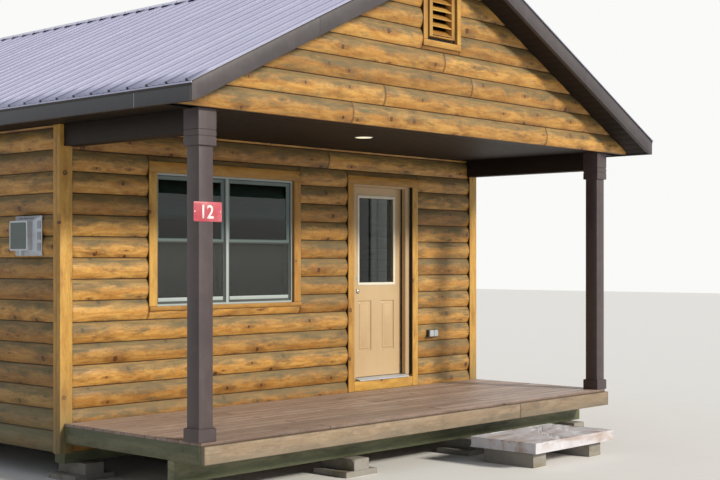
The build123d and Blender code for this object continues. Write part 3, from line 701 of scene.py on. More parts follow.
def concrete(name, pale, dark, stain):
    """Concrete in three display colours."""
    material, tree, shader = shader_of(name)
    place_effect(tree, shader, cast, {
        "Place": object_place(tree), "Pale": shade(*pale), "Dark": shade(*dark),
        "Stain": shade(*stain)}, 0.7, 0.003)
    return material


step_concrete = concrete("step concrete", (224, 224, 230), (168, 162, 164), (164, 140, 126))
pier_concrete = concrete("pier concrete", (160, 156, 148), (112, 108, 102), (118, 108, 86))
print("concrete effect", len(cast.nodes), "nodes")


# %% [markdown]
# Glass is plain: a green tint, faint on the door and strong on the window, where it is partly
# painted green reflection, with a thin film of dust that only changes its roughness.
# The porch lamp's frosted lens gives out its own warm colour, so that it reads as lit.

# %% Glass and lamp
def glazing(name, colour, rough):
    """Tinted glass whose dust film shows only in its roughness."""
    material, tree, shader = shader_of(name)
    film = noise(object_place(tree), 7.0, 4.0)
    settings(shader, {"Base Color": colour, "Transmission Weight": 1.0, "IOR": 1.5,
                      "Roughness": between(film, 0.45, 0.8, rough, rough + 0.05)})
    return material


# Strong green tint: partly glass tint, partly painted green reflection.
window_glazing = glazing("window glass", shade(74, 124, 114), 0.0)
door_glazing = glazing("door glass", shade(190, 204, 190), 0.02)


def lamp_finish():
    """A rippled, frosted lens that gives out its own colour."""
    material, tree, shader = shader_of("lit lens")
    ripple = noise(object_place(tree), 90.0, 2.0)
    warm = tint(ripple, shade(255, 244, 218), shade(255, 236, 200))
    settings(shader, {"Base Color": warm, "Emission Color": warm, "Emission Strength": 0.9,
                      "Roughness": 0.3})
    return material


lit_lens = lamp_finish()
print("glass and lamp ready")


# %% [markdown]
# ## Log walls
#
# The siding is milled in rounded courses 184 mm high and comes in lengths, so each course has a
# butt joint or two, over a stud. The courses stop at the corner boards and at the trim of the
# openings, and a course that meets a sill is notched. The plan is worked out first, as rows
# (from, to, low, high, foot). Then one call carries the log's section along all the rows.

# %% Planning the courses
def courses(first, last, foot, head, pitch, holes=()):
    """Rows of boards from foot to head between first and last, cut round the holes
    (from, to, low, high)."""
    rows = []
    for number in range(math.ceil((head - foot) / pitch - 1e-6)):
        z0 = foot + number * pitch
        z1 = min(z0 + pitch, head)
        spans = [(first, last)]
        for left, right, low, high in holes:
            if low > z1 - 0.003 or high < z0 + 0.003:
                continue
            clear = []
            for start, end in spans:
                a, b = max(left, start), min(right, end)
                if a >= b:
                    clear.append((start, end))
                    continue
                clear += [pair for pair in ((start, a), (b, end)) if pair[1] - pair[0] > 0.01]
                if low > z0 + 0.004:
                    rows.append((a, b, z0, low, z0))
                if high < z1 - 0.004:
                    rows.append((a, b, high, z1, z0))
            spans = clear
        rows += [(start, end, z0, z1, z0) for start, end in spans]
    return rows


def butted(rows, draw, longest=3.9, stud=0.406):
    """Splits long rows at studs, so that no length passes the longest stock."""
    split = []
    for start, end, low, high, foot in rows:
        while end - start > longest:
            studs = np.arange(math.ceil((start + 1.2) / stud),
                              math.floor(min(start + longest, end - 0.8) / stud) + 1)
            cut = draw.choice(studs) * stud
            split.append((start, cut, low, high, foot))
            start = cut
        split.append((start, end, low, high, foot))
    return split


print("courses in a wall:", math.ceil((ceiling_z - siding_base) / log_pitch))


# %% [markdown]
# A row turns into a log when the log's section is carried along it. The section is an arc
# between two grooves, and a row that is cut by a sill takes only its own part of the arc.

# %% Logs along the rows
def row_heights(rows, gap):
    """Low and high edge of each row above its foot, less half a joint."""
    rows = np.array(rows)
    return ((rows[:, 2] - rows[:, 4])[:, None] + gap, (rows[:, 3] - rows[:, 4])[:, None] - gap)


def log_outline(rows, gap=0.0015, arc_points=11):
    """The log's section for each row, closed by a flat back. Over its height s the depth is
    groove + (crest - groove) * (1 - (2s - 1)^2)^0.85, cut to the row's low and high."""
    low, high = row_heights(rows, gap)
    up = low + (high - low) * np.linspace(0, 1, arc_points)
    bulge = np.clip(1 - (2 * up / log_pitch - 1) ** 2, 0, 1) ** 0.85
    depth = groove + (log_crest - 0.001 - groove) * bulge
    back = np.stack([np.concatenate([high, low], 1), np.full((len(rows), 2), 0.0005)], -1)
    return np.concatenate([np.stack([up, depth], -1)[:, ::-1], back[:, ::-1]], 1)


def carry_rows(name, rows, outline, place, out, material, roof_cut=False, **facts):
    """Carries each row's section along its wall. place(along, height) gives a point of the
    wall, and out points away from it."""
    rows = np.array(rows)
    starts, ends = place(rows[:, 0], rows[:, 4]), place(rows[:, 1], rows[:, 4])
    if np.cross(out, ends[0] - starts[0])[2] < 0:
        starts, ends = ends, starts
    cuts = slant_cuts(rows, outline, starts, ends) if roof_cut else None
    return carry(name, starts, ends, out, outline, material, cuts=cuts, **facts)


def log_wall(name, rows, place, out, seed, material=log_pine, **facts):
    """Logs for one wall, with butt joints, in slightly wavy lengths."""
    rows = butted(rows, np.random.default_rng(seed))
    outline = log_outline(rows)
    return carry_rows(name, rows, outline, place, out, material, nose=0.0016, step=0.3,
                      wave=0.0007, heights=outline[..., 0] / log_pitch, seed=seed,
                      slot="log_siding", **facts)


print("a log's section has", log_outline([(0, 1, 0.0, log_pitch, 0.0)]).shape[1], "points")


# %% [markdown]
# On a gable the end of each log follows the roof. The point at height z may reach no further
# than where the roof's underside is at that height, so every point of the log's section gets its
# own length.

# %% Cutting logs to the roof
gable_drop = 0.024
half_soffit = half_eave - 0.038


def roof_z(x, drop=0.0):
    """Height of the roof plane at x, less an upright drop."""
    return ridge_z - slope * np.abs(x) - drop


def roof_reach(height):
    """How far from the middle a log may reach at a height."""
    return np.minimum((ridge_z - gable_drop - height) / slope, half_soffit)


def slant_cuts(rows, outline, starts, ends):
    """First and last t of each outline point: the row's own ends, held inside the roof line."""
    limit = np.maximum(roof_reach(rows[:, 4][:, None] + outline[..., 0]), 0.003)
    direction = np.sign(ends[:, 0] - starts[:, 0])[:, None]
    held = [np.clip(end[:, :1], -limit, limit) for end in (starts, ends)]
    return np.stack([(x - starts[:, :1]) * direction for x in held], -1)


def gable_rows(foot, hole):
    """Courses under the roof, as wide as the roof allows at each foot, cut round one hole."""
    head = ridge_z - gable_drop
    rows = []
    for number in range(math.ceil((head - foot) / log_pitch)):
        z0 = foot + number * log_pitch
        low = max(z0, ceiling_z)
        if low > head - 0.02:
            break
        reach = roof_reach(low)
        flat = courses(-reach, reach, low, min(z0 + log_pitch, head), log_pitch, (hole,))
        rows += [(start, end, a, b, z0) for start, end, a, b, _ in flat]
    return rows


print("a gable log reaches", round(float(roof_reach(ceiling_z)), 3), "m at the ceiling")


# %% [markdown]
# Four walls and two gables now differ only in their line, their direction and their holes. The
# sides and the back stand in the weather down to the ground, so their logs carry the damp film.

# %% The four walls and two gables
corner_front, corner_side = 0.125, 0.057
window_low, window_high = span("window_frame")
frame_low, frame_high = span("door_frame")
(_, _, sill_low), (_, _, trim_head_top) = span("window_trim")
window_hole = (window_low[0] - trim_width, window_high[0] + trim_width, sill_low, trim_head_top)
door_hole = (frame_low[0] - trim_width, frame_high[0] + trim_width, deck_top, trim_head_top)
gables = ((front_y, -1), (back_y, 1))
corner_low, corner_high = span("corner_boards")
front_reach = corner_high[0] - corner_front
side_front = corner_low[1] + trim_face + corner_side
side_back = corner_high[1] - trim_face - corner_side
vent_low, vent_high = span("vent_trims")
vent_hole = (vent_low[0], vent_high[0], vent_low[2], vent_high[2])


def on_line(y):
    """The place function of a wall along X, at this y."""
    return lambda along, height: np.stack([along, np.full_like(along, y), height], -1)


def on_side(side):
    """The place function of the left wall (-1) or the right wall (1)."""
    x = side * half_frame
    return lambda along, height: np.stack([np.full_like(along, x), along, height], -1)


def full_wall(name, first, last, place, out, seed, holes=(), **facts):
    """Courses from the siding's foot to the ceiling, cut round the holes."""
    log_wall(name, courses(first, last, siding_base, ceiling_z, log_pitch, holes), place, out,
             seed, **facts)


full_wall("front_logs", -front_reach, front_reach, on_line(wall_y), (0, -1, 0), 11,
          (window_hole, door_hole),
          nodes="front_wall_left front_wall_over_door front_wall_right front_wall_under_door")
full_wall("back_logs", -front_reach, front_reach, on_line(back_y), (0, 1, 0), 12,
          material=open_pine, nodes="back_wall")
for side, name in ((-1, "left"), (1, "right")):
    full_wall(f"{name}_logs", side_front, side_back, on_side(side), (side, 0, 0), 13 + side,
              material=open_pine, nodes=f"{name}_wall")
log_wall("front_gable_logs", gable_rows(ceiling_z, vent_hole), on_line(front_y), (0, -1, 0), 21,
         roof_cut=True, nodes="gables")
log_wall("back_gable_logs", gable_rows(siding_base, vent_hole), on_line(back_y), (0, 1, 0), 22,
         roof_cut=True)


# %% [markdown]
# Behind the logs are sheathing covered with building paper, which makes the joints look black,
# and inside the room a lining of plain pine boards. Both are rows of flat boards cut round the
# same openings. The gables have only the paper-covered sheathing.

# %% Sheathing and lining
def flat_rows(name, rows, place, out, near, far, material, gap=0.0005, **facts):
    """Flat boards for each row, between two depths measured outwards from the wall line."""
    low, high = row_heights(rows, gap)
    outline = np.stack([np.concatenate([low, low, high, high], 1),
                        np.broadcast_to([near, far, far, near], (len(rows), 4))], -1)
    return carry_rows(name, rows, outline, place, out, material, nose=0.0008, **facts)


wall_depth = 0.115
vent_frame = 0.09
half_inner = half_frame - wall_depth
inner_front = span("door_frame")[1][1]
inner_back = back_y - wall_depth
window_gap = (window_low[0], window_high[0], window_low[2], window_high[2])
door_gap = (frame_low[0], frame_high[0], floor_top - 0.1, frame_high[2])
across = ((-half_frame, half_frame), (-half_inner, half_inner))
deep = ((wall_y, back_y), (inner_front, inner_back))
for name, place, out, (outer, inner), holes, seed in (
        ("front", on_line(wall_y), (0, -1, 0), across, (window_gap, door_gap), 31),
        ("back", on_line(back_y), (0, 1, 0), across, (), 31),
        ("left", on_side(-1), (-1, 0, 0), deep, (), 31),
        ("right", on_side(1), (1, 0, 0), deep, (), 33)):
    flat_rows(f"{name}_sheathing", courses(*outer, floor_top - 0.25, ceiling_z, 0.3, holes),
              place, out, -0.02, -0.001, dark_felt)
    flat_rows(f"{name}_lining", courses(*inner, floor_top, ceiling_z, 0.14, holes), place, out,
              -wall_depth, -0.1, raw_lumber, gap=0.0012, seed=seed)
vent_gap = vent_hole + vent_frame * np.array([1, -1, 1, -1])
for name, foot, (line, way) in zip(("front", "back"), (ceiling_z, siding_base), gables):
    flat_rows(f"{name}_gable_sheathing", gable_rows(foot, vent_gap), on_line(line), (0, way, 0),
              -0.02, -0.001, dark_felt, roof_cut=True)


# %% [markdown]
# ## Trim boards
#
# Corner boards, window and door casings and the vent's frame are square-edged pine, a little
# yellower than the logs. They are separate boards with a fine joint where they meet, which is
# what the eye looks for at a corner.

# %% Corner boards and casings
joint = 0.0006
trims = []
for x_side in (-1, 1):
    for line, y_side in ((wall_y, -1), (back_y, 1)):
        x_out = x_side * (half_frame + trim_face)
        face = line + y_side * trim_face
        trims.append((x_out, x_out - x_side * corner_front, face, line, siding_base, ceiling_z))
        trims.append((x_out, x_side * half_frame, line - y_side * joint,
                      line - y_side * corner_side, siding_base, ceiling_z))
boards("corner_trim", trims, open_trim, slot="trim_boards", nodes="corner_boards", seed=41)

face_y = wall_y - trim_face
head_line = span("front_door")[1][2] + 0.014


def casing(opening, inner, foot, top, lowest, seed):
    """Two side boards, a head board over both, and one more board: a sill or a door foot."""
    left, right = inner
    outer = (left - trim_width, right + trim_width)
    boards(f"{opening}_casing", [
        (outer[0], left - joint, face_y, wall_y, foot, top),
        (right + joint, outer[1], face_y, wall_y, foot, top),
        (*outer, face_y, wall_y, top + joint, trim_head_top),
        lowest], trim_pine, slot="trim_boards", nodes=f"{opening}_trim", seed=seed)


casing("window", (window_low[0], window_high[0]), window_low[2] + joint, window_high[2],
       (*window_hole[:2], face_y - 0.01, wall_y, sill_low, window_low[2] - joint), 42)
casing("door", (frame_low[0], frame_high[0]), deck_top, head_line - joint,
       (frame_low[0], frame_high[0], face_y, wall_y, deck_top,
        span("door_threshold")[0][2] - joint), 43)


# %% [markdown]
# Dark caulk closes the scalloped gap between the round log ends and the flat edge of each trim
# board; its near-black colour is painted shade on the trim's side. From the front it shows as a
# row of small black notches, one at each course.

# %% Caulk along the trims
bead, reach_out = 0.0012, 0.036
corners = (bead - front_reach, front_reach - bead, siding_base, ceiling_z)
shade_beads = [(edge, edge + bead, line, line + way * reach_out, low_z, high_z)
         for line, way, holes in ((wall_y, -1, (window_hole, door_hole, corners)),
                                  *((*gable, (vent_hole,)) for gable in gables))
         for left, right, low_z, high_z in holes for edge in (left - bead, right)]
for side in (-1, 1):
    edge = side * (front_reach - bead)
    shade_beads.append((edge, edge + side * bead, back_y, back_y + reach_out, siding_base, ceiling_z))
    for edge, way in ((side_front, 1), (side_back, -1)):
        shade_beads.append((side * half_frame, side * (half_frame + reach_out), edge, edge + way * bead,
                      siding_base, ceiling_z))
# Near-black caulk strips on the trims' sides: painted shade in the scallops.
boards("trim_caulk", shade_beads, dark_felt, radius=0.0004, slot="trim_boards")


# %% [markdown]
# Each gable vent is a square box with slats that slope outwards, in a frame of trim boards. The
# slats are thin boards turned about their length, so their section is a slanted parallelogram.

# %% Gable vents
vent_face = 0.056
stile, rail = 0.042, 0.014
vent_boards, jambs, feet, slats = [], [], [], []
x0, x1, z0, z1 = vent_hole
a, b, c, d = vent_gap
for line, side in gables:
    outer = line + side * trim_face
    vent_boards += [
        (x0, x1, line, outer, z0, z0 + vent_face - joint),
        (x0, x1, line, outer, z1 - vent_face + joint, z1),
        (x0, x0 + vent_face, line, outer, z0 + vent_face, z1 - vent_face),
        (x1 - vent_face, x1, line, outer, z0 + vent_face, z1 - vent_face)]
    inner, lip = line - side * log_crest, line + side * log_crest
    jambs += [(a, a + stile, inner, lip, c, d), (b - stile, b, inner, lip, c, d),
              (a + stile, b - stile, inner, lip, c, c + rail),
              (a + stile, b - stile, inner, lip, d - rail, d)]
    front, back = lip - side * 0.004, inner + side * 0.004
    for slat in range(5):
        feet.append(c + 0.022 + slat * 0.072)
        slats.append([(0.0, -front), (0.010, -front), (0.062, -back), (0.052, -back)])
boards("vent_frames", vent_boards, trim_pine, slot="trim_boards", nodes="vent_trims", seed=44)
boards("vent_boxes", jambs, trim_pine, radius=0.0015, slot="trim_boards", seed=45)
carry("vent_slats", [(a + stile, 0, foot) for foot in feet],
      [(b - stile, 0, foot) for foot in feet], (0, -1, 0), slats, trim_pine, nose=0.001,
      seed=46, slot="trim_boards", nodes="vent_louvres")


# %% [markdown]
# ## Roof
#
# The roof is ribbed sheet: main ribs nine inches apart with two small stiffening ribs between
# each pair. The upper line of the sheet, seen from the eave, is a list of (y, height) points,
# and the whole row of ribs is centred on the roof.

# %% The line of the ribs
metal_low, metal_high = span("roof_metal")
rib_pitch, rib_foot, rib_height = 0.229, 0.044, 0.019
last_rib, ribs_a_panel = 37, 4
metal_drop, sheet_lift = 0.0022, 0.0019
first_rib = metal_low[1] + (metal_high[1] - metal_low[1] - last_rib * rib_pitch - rib_foot) / 2
rib_feet = first_rib + np.arange(last_rib + 1) * rib_pitch


def rib_line(first, last):
    """(y, height) of the panel's upper line: main ribs 44 mm wide at the foot and 18 at the
    top, and two low ribs between each pair."""
    main = np.array([(0.0, 0.0), (0.004, 0.001), (0.0115, 0.0175), (0.0135, rib_height),
                     (0.0305, rib_height), (0.0325, 0.0175), (0.040, 0.001), (rib_foot, 0.0)])
    low = np.array([(-0.010, 0.0), (-0.004, 0.003), (0.004, 0.003), (0.010, 0.0)])
    line = []
    for rib in range(first, last + 1):
        line.append(main + [rib_feet[rib], 0])
        if rib < last:
            line += [low + [rib_feet[rib] + step, 0] for step in (0.0985, 0.1745)]
    return np.concatenate(line)


print(last_rib + 1, "main ribs from", round(float(first_rib), 3))


# %% [markdown]
# A panel is a surface of two numbers: how far along the building, which sets the rib height, and
# how far down the slope. Panels are four ribs wide, and each laps over the last one's rib.
# Solidify gives the sheet its thickness, so the rib ends at the eave stay open, as on the real
# roof.

# %% Ribbed panels
def roof_up(side):
    """Unit vector square to one side of the roof."""
    return np.array([side * slope, 0, 1]) / slope_length


def on_roof(side, down, along, lift):
    """point = ridge line + slope direction * down + y * along + square direction * lift."""
    ridge = np.array([side * 0.001, 0, roof_z(0.001, metal_drop)])
    return (ridge + np.array([side, 0, -slope]) / slope_length * down[..., None]
            + roof_up(side) * np.asarray(lift)[..., None] + np.array([0, 1, 0]) * along[..., None])


def roof_panel(side, first, stations=15):
    """One panel and its painted shade marks. The lift is the rib line, a lap over the last panel,
    and a slow swell of under a millimetre. The flanks of the ribs are marked for painted shade."""
    last = min(first + ribs_a_panel, last_rib)
    line = rib_line(first, last)
    start = metal_low[1] if first == 0 else line[0, 0] - 0.006
    end = metal_high[1] if last == last_rib else line[-1, 0] + 0.006
    line = np.concatenate([[(start, 0.0)], line, [(end, 0.0)]])
    run = (half_eave + 0.0102) * slope_length
    along, down = np.meshgrid(line[:, 0], np.linspace(0.0, run, stations))
    lap = 0.0012 * np.clip(1 - (along - line[0, 0]) / 0.06, 0, 1) * (first > 0)
    swell = 0.0005 * np.sin(down * 3.1 + along * 5.0) * np.sin(along * 2.1 + 1.3)
    flank = (line[:, 1] > 0.0005) & (line[:, 1] < 0.018)
    # Rib flanks get painted shade, weaker on the low ribs.
    flank_shade = np.broadcast_to(np.where(line[:, 1] < 0.004, 0.3, 1.0) * flank, along.shape)
    return (on_roof(side, down, along, line[:, 1][None] + lap + swell + sheet_lift),
            np.stack([flank_shade, flank_shade, flank_shade], -1))


def surface(name, sheets, material, thickness, marks=None, **facts):
    """Joins open sheets (arrays of rows x columns x 3) into one piece, its faces turned towards
    +Z, and thickens it downwards."""
    faces, at = [], 0
    for sheet in sheets:
        rows, columns = sheet.shape[:2]
        index = np.arange(rows * columns).reshape(rows, columns)
        quads = np.stack([index[:-1, :-1], index[1:, :-1], index[1:, 1:], index[:-1, 1:]], -1)
        a, b, c = (sheet.reshape(-1, 3)[quads[0, 0, corner]] for corner in range(3))
        if np.cross(b - a, c - a)[2] < 0:
            quads = quads[..., ::-1]
        faces.append(quads.reshape(-1, 4) + at)
        at += rows * columns
    if marks is not None:
        facts["board"] = np.concatenate([mark.reshape(-1, 3) for mark in marks])
    made = piece(name, np.concatenate([sheet.reshape(-1, 3) for sheet in sheets]), faces,
                 material, slot="roof_paint", sharp=25, **facts)
    wall = made.modifiers.new("thickness", "SOLIDIFY")
    wall.thickness = thickness
    wall.offset = -1


sheets, marks = zip(*(roof_panel(side, first) for side in (-1, 1)
                      for first in range(0, last_rib, ribs_a_panel)))
surface("roof_panels", sheets, roof_paint, 0.0012, marks=marks, nodes="roof_metal")


# %% [markdown]
# Hex-headed screws with washers hold the sheet down, one beside each main rib, in rows two feet
# apart. There are several hundred, so each is only a few rings of six points, and all are one
# piece.

# %% Roof screws
screw_profile = [(0.0082, 0.0), (0.0085, 0.0012), (0.006, 0.0022), (0.0048, 0.0024),
                 (0.0046, 0.0062), (0.0036, 0.0070)]


def sheet_screws(name, place):
    """Screws on both sides of the roof, where place(side) puts them."""
    heads = [rings_round(place(side), roof_up(side), screw_profile, sides=6) for side in (-1, 1)]
    joined(name, [np.concatenate(heads)], screw_zinc, slot="roof_paint")


screw_rows = np.array([0.10, 0.71, 1.32, 1.93, 2.54, 3.15, 3.44])
beside_ribs = rib_feet + 0.07
beside_ribs = beside_ribs[beside_ribs < metal_high[1] - 0.02]
along, down = (grid.ravel() for grid in np.meshgrid(beside_ribs, screw_rows))
sheet_screws("roof_screws", lambda side: on_roof(side, down, along, sheet_lift))


# %% [markdown]
# Everything else under the roof follows its slope: sheathing, sloping soffit, rake boards and
# the ridge cap. The shared trick is a section of (y, drop) points carried along X while its
# height follows the roof plane: point = (x, y, roof(x) - drop). Upright ends then come free.

# %% Pieces that follow the roof
def under_roof(name, runs, material, floor=None, waviness=0.0, **facts):
    """Carries sections of (y, drop) along X. A run is (x0, x1, section), and every run has the
    same number of section points."""
    draw = np.random.default_rng(1)
    x0, x1 = (np.array([run[place] for run in runs])[:, None] for place in (0, 1))
    section = np.array([run[2] for run in runs], float)
    nose = 0.0012 * np.sign(x1 - x0)
    stations = 14 if waviness else 2
    inner = x0 + nose + (x1 - x0 - 2 * nose) * np.linspace(0, 1, stations)
    x = np.concatenate([x0, inner, x1], 1)
    middle = (section.max(1) + section.min(1))[:, None] / 2
    half = (section.max(1) - section.min(1))[:, None] / 2
    drawn = middle + (section - middle) * (1 - 0.0012 / np.maximum(half, 0.002))
    rings = np.repeat(section[:, None], x.shape[1], 1)
    rings[:, [0, -1]] = drawn[:, None]
    y, drop = rings[..., 0], rings[..., 1]
    y = y + waviness * np.sin(x * 3.7)[..., None] * np.sign(y - middle[..., 0][:, None])
    z = roof_z(x)[..., None] - drop
    if floor is not None:
        z = np.maximum(z, floor)
    points = np.stack([np.broadcast_to(x[..., None], y.shape), y, z], -1)
    phase = draw.uniform(0, 20, (len(runs), 1, 1))
    grain = np.stack([points[..., 0] * slope_length + phase, y + phase * 1.3, drop], -1)
    tone = np.broadcast_to(draw.uniform(0, 1, (len(runs), 1, 1)), y.shape)
    board = np.stack([tone, np.full_like(y, 0.4), np.full_like(y, 0.5)], -1)
    return piece(name, points, skin(points), material, grain=grain, board=board, **facts)


def slab(y0, y1, top, bottom):
    """A plain four-sided section between two lines and two drops."""
    return [(y0, top), (y1, top), (y1, bottom), (y0, bottom)]


def strips(first, last, count):
    """Neighbouring (from, to) pairs that share a length evenly."""
    edges = np.linspace(first, last, count + 1)
    return list(zip(edges[:-1], edges[1:]))


rake_front = metal_low[1] + 0.012
rake_back = metal_high[1] - 0.012
fascia_board = 0.038
rake_height = 0.162
deck_front, deck_back = rake_front + fascia_board, rake_back - fascia_board
sheathing = [(side * start, side * (end - 0.002),
              slab(y0, min(y0 + 2.437, deck_back), metal_drop + 0.0002, metal_drop + 0.0198))
             for side in (-1, 1) for start, end in strips(0.001, half_soffit, 3)
             for y0 in np.arange(deck_front, deck_back - 0.3, 2.44)]
under_roof("roof_deck", sheathing, raw_lumber, slot="roof_lumber", nodes="roof_sheathing")


# %% [markdown]
# Rake boards and fascias are lumber wrapped in bent sheet. The wrap has a lip at the foot, a
# small step under the roof's edge, and a lap every three metres or so; the fascias' laps are
# covered by pale strips, a painted highlight. Foam plugs fill the rib ends over the fascia, and
# dark closure strips run under the sheet's edge at eaves and rakes; their near-black colour is
# also painted shadow along that edge and in the open rib ends.

# %% Rake boards and fascias
def wrapped(y0, y1, out):
    """Section of a wrapped board: a small lip under it, and the upper edge set back 3 mm."""
    return [(y0, metal_drop), (y0 + out * 0.003, metal_drop + 0.001),
            (y0, metal_drop + 0.012), (y0, rake_height - 0.004),
            (y0 + out * 0.002, rake_height), (y1, rake_height), (y1, metal_drop)]


fascia_low, fascia_high = span("eave_fascias")
rakes, rake_shadow_strips = [], []
for side in (-1, 1):
    for y, way in ((rake_front, 1), (rake_back, -1)):
        for start, end in ((0.001, 1.9), (1.9005, half_eave)):
            rakes.append((side * start, side * end, wrapped(y, y + way * fascia_board, way)))
        # A dark strip in the wrap's set-back upper edge: painted shadow under the sheet.
        rake_shadow_strips.append((side * 0.001, side * half_eave,
                         slab(y - way * 0.003, y, metal_drop + 0.001, metal_drop + 0.014)))
under_roof("rake_wraps", rakes, rake_wrap, floor=fascia_low[2], waviness=0.0006,
           slot="brown_wrap", nodes="rake_boards")
under_roof("rake_closures", rake_shadow_strips, dark_felt, slot="brown_wrap")


def eave_boards(name, inner, outer, lines, low, high, material, slot="brown_wrap", **facts):
    """Boards along both eaves. Inner and outer are measured from the fascia's face, and each
    line is a (from, to) along the building."""
    boards(name, [(side * (half_eave + inner), side * (half_eave + outer), y0, y1, low, high)
                  for side in (-1, 1) for y0, y1 in lines], material, slot=slot, **facts)


fascia_joints = (-3.39, -0.35, 2.70)
edges = (fascia_low[1], *fascia_joints, fascia_high[1])
lengths = [(y0, y1 - joint) for y0, y1 in zip(edges[:-1], edges[1:])]
eave_boards("fascia_wraps", -fascia_board, 0.0, lengths, fascia_low[2], fascia_high[2],
            slate_wrap, radius=0.002, nodes="eave_fascias")
# Pale strips over the fascia laps: painted highlight on the lapped edge.
eave_boards("fascia_seams", -0.002, -0.0001, [(y - 0.004, y + 0.004) for y in fascia_joints],
            fascia_low[2] + 0.001, fascia_high[2] - 0.001, vinyl, radius=0.0005)
drip_z = float(roof_z(half_eave + 0.0098, metal_drop))
whole_eave = [(rake_front, rake_back)]
eave_boards("drip_edges", 0.001, 0.0096, whole_eave, drip_z - 0.014, drip_z - 0.0015, roof_paint,
            radius=0.001)
# Dark foam plugs in the rib ends; their dark colour is also painted shade in the open ribs.
eave_boards("rib_plugs", 0.0005, 0.0085, [(foot + 0.010, foot + 0.034) for foot in rib_feet],
            drip_z + 0.0005, drip_z + 0.0175, dark_felt, "roof_paint", radius=0.001)
# A dark closure strip over the fascia: painted shadow under the drip edge.
eave_boards("eave_closures", -0.001, 0.004, whole_eave, drip_z - 0.030, drip_z - 0.012,
            dark_felt, radius=0.001)


# %% [markdown]
# Soffits and the porch ceiling are dark ribbed sheet: narrow strips with a shadow groove
# between. Their near-black colour is brown paint darkened as painted shade. As separate strips
# the grooves are real, and the low view along the ceiling shows them.

# %% Soffits and ceilings
sloping_drop = rake_height - 0.010
lined = [(side * (start + 0.001), side * (end - 0.001),
          slab(y0, y1, sloping_drop - 0.009, sloping_drop))
         for side in (-1, 1)
         for y0, y1 in ((deck_front, front_y - log_crest), (back_y + log_crest, deck_back))
         for start, end in strips(0.0015, half_soffit, 33)]
under_roof("rake_soffit", lined, soffit_brown_and_shade, slot="brown_soffit", nodes="soffits")
ceiling_low, ceiling_high = span("ceiling")
level = (ceiling_z + 0.0005, ceiling_z + 0.011)
eave_strip = 0.1
eaves = [(side * half_frame, side * half_soffit, start + 0.001,
          min(start + eave_strip, ceiling_high[1]) - 0.001, *level)
         for side in (-1, 1)
         for start in np.arange(ceiling_low[1], ceiling_high[1] - 0.01, eave_strip)]
boards("eave_soffit", eaves, soffit_brown_and_shade, slot="brown_soffit")


def ceiling_strips(name, count, y0, y1, material, **facts):
    """Even strips across the frame, 2.4 mm apart."""
    boards(name, [(start + 0.0012, end - 0.0012, y0, y1, *level)
                  for start, end in strips(-half_frame, half_frame, count)], material,
           slot="brown_soffit", **facts)


ceiling_strips("porch_ceiling", 56, ceiling_low[1], wall_y, soffit_brown_and_shade, nodes="ceiling")
ceiling_strips("room_ceiling", 40, wall_y + 0.001, ceiling_high[1], raw_lumber)
boards("porch_gable_back", [(-half_frame, half_frame, front_y + 0.022, ceiling_low[1],
                             ceiling_z, ceiling_z + 0.012)], soffit_brown_and_shade, slot="brown_soffit")


# %% [markdown]
# The ridge cap is one folded strip. It rests on the ribs of both sides, rises to a rounded fold
# and ends in a short lip, so its section is a few (x, z) points that are repeated along Y.

# %% Ridge cap
wing = 0.16 / slope_length
cap_z = ridge_z + (rib_height + 0.0003) * slope_length
section_x = np.array([0.0, 0.012, 0.03, wing * 0.6, wing - 0.012, wing])
section_z = cap_z + 0.0012 - slope * section_x + np.array([-0.0016, -0.0006, 0, 0, 0, -0.004])
cap_x, cap_y = np.meshgrid(section_x, np.linspace(metal_low[1], metal_high[1], 30))
swell = 0.0004 * np.sin(cap_y * 4.1)
surface("ridge_cover", [np.stack([side * cap_x, cap_y, section_z + swell], -1)
                        for side in (-1, 1)], roof_paint, 0.0010, nodes="ridge_cap")
cap_screw_x = wing - 0.03
cap_screws = np.full_like(rib_feet, cap_z + 0.0014 - slope * cap_screw_x)
sheet_screws("ridge_screws", lambda side: np.stack(
    [np.full_like(rib_feet, side * cap_screw_x), rib_feet + 0.022, cap_screws], -1))


# %% [markdown]
# ## Porch
#
# The deck is narrow boards along the front, greyed by feet and rain, with screws at each joist.
# The board edges make a fine dark line above the rim. Under it the end joist and the front beam
# are green treated lumber, and the front rim is a paler board in two lengths.

# %% Deck boards and floor frame
def points_of(mesh):
    """The points of a mesh as an array."""
    points = np.empty(len(mesh.vertices) * 3)
    mesh.vertices.foreach_get("co", points)
    return points.reshape(-1, 3)


def solid_boxes(node):
    """Boxes of a CAD node's separate solids: points joined by a triangle take the lowest
    label among them until no label changes."""
    mesh = frame["nodes"][node].data
    points = points_of(mesh)
    corners = np.empty(len(mesh.loops), int)
    mesh.loops.foreach_get("vertex_index", corners)
    _, merged = np.unique(np.round(points, 5), axis=0, return_inverse=True)
    triangles = merged.ravel()[corners].reshape(-1, 3)
    label = np.arange(merged.max() + 1)
    while True:
        new = label.copy()
        np.minimum.at(new, triangles.ravel(), np.repeat(label[triangles].min(1), 3))
        new = new[new]
        if (new == label).all():
            break
        label = new
    owner = label[merged.ravel()]
    return np.array([np.stack([points[owner == one].min(0), points[owner == one].max(0)], -1)
                     for one in np.unique(owner)])


def from_node(node, material, slot, **facts):
    """Softened boards in place of a CAD node made of plain boards."""
    return boards(f"{node}_dressed", solid_boxes(node), material, slot=slot, nodes=node, **facts)


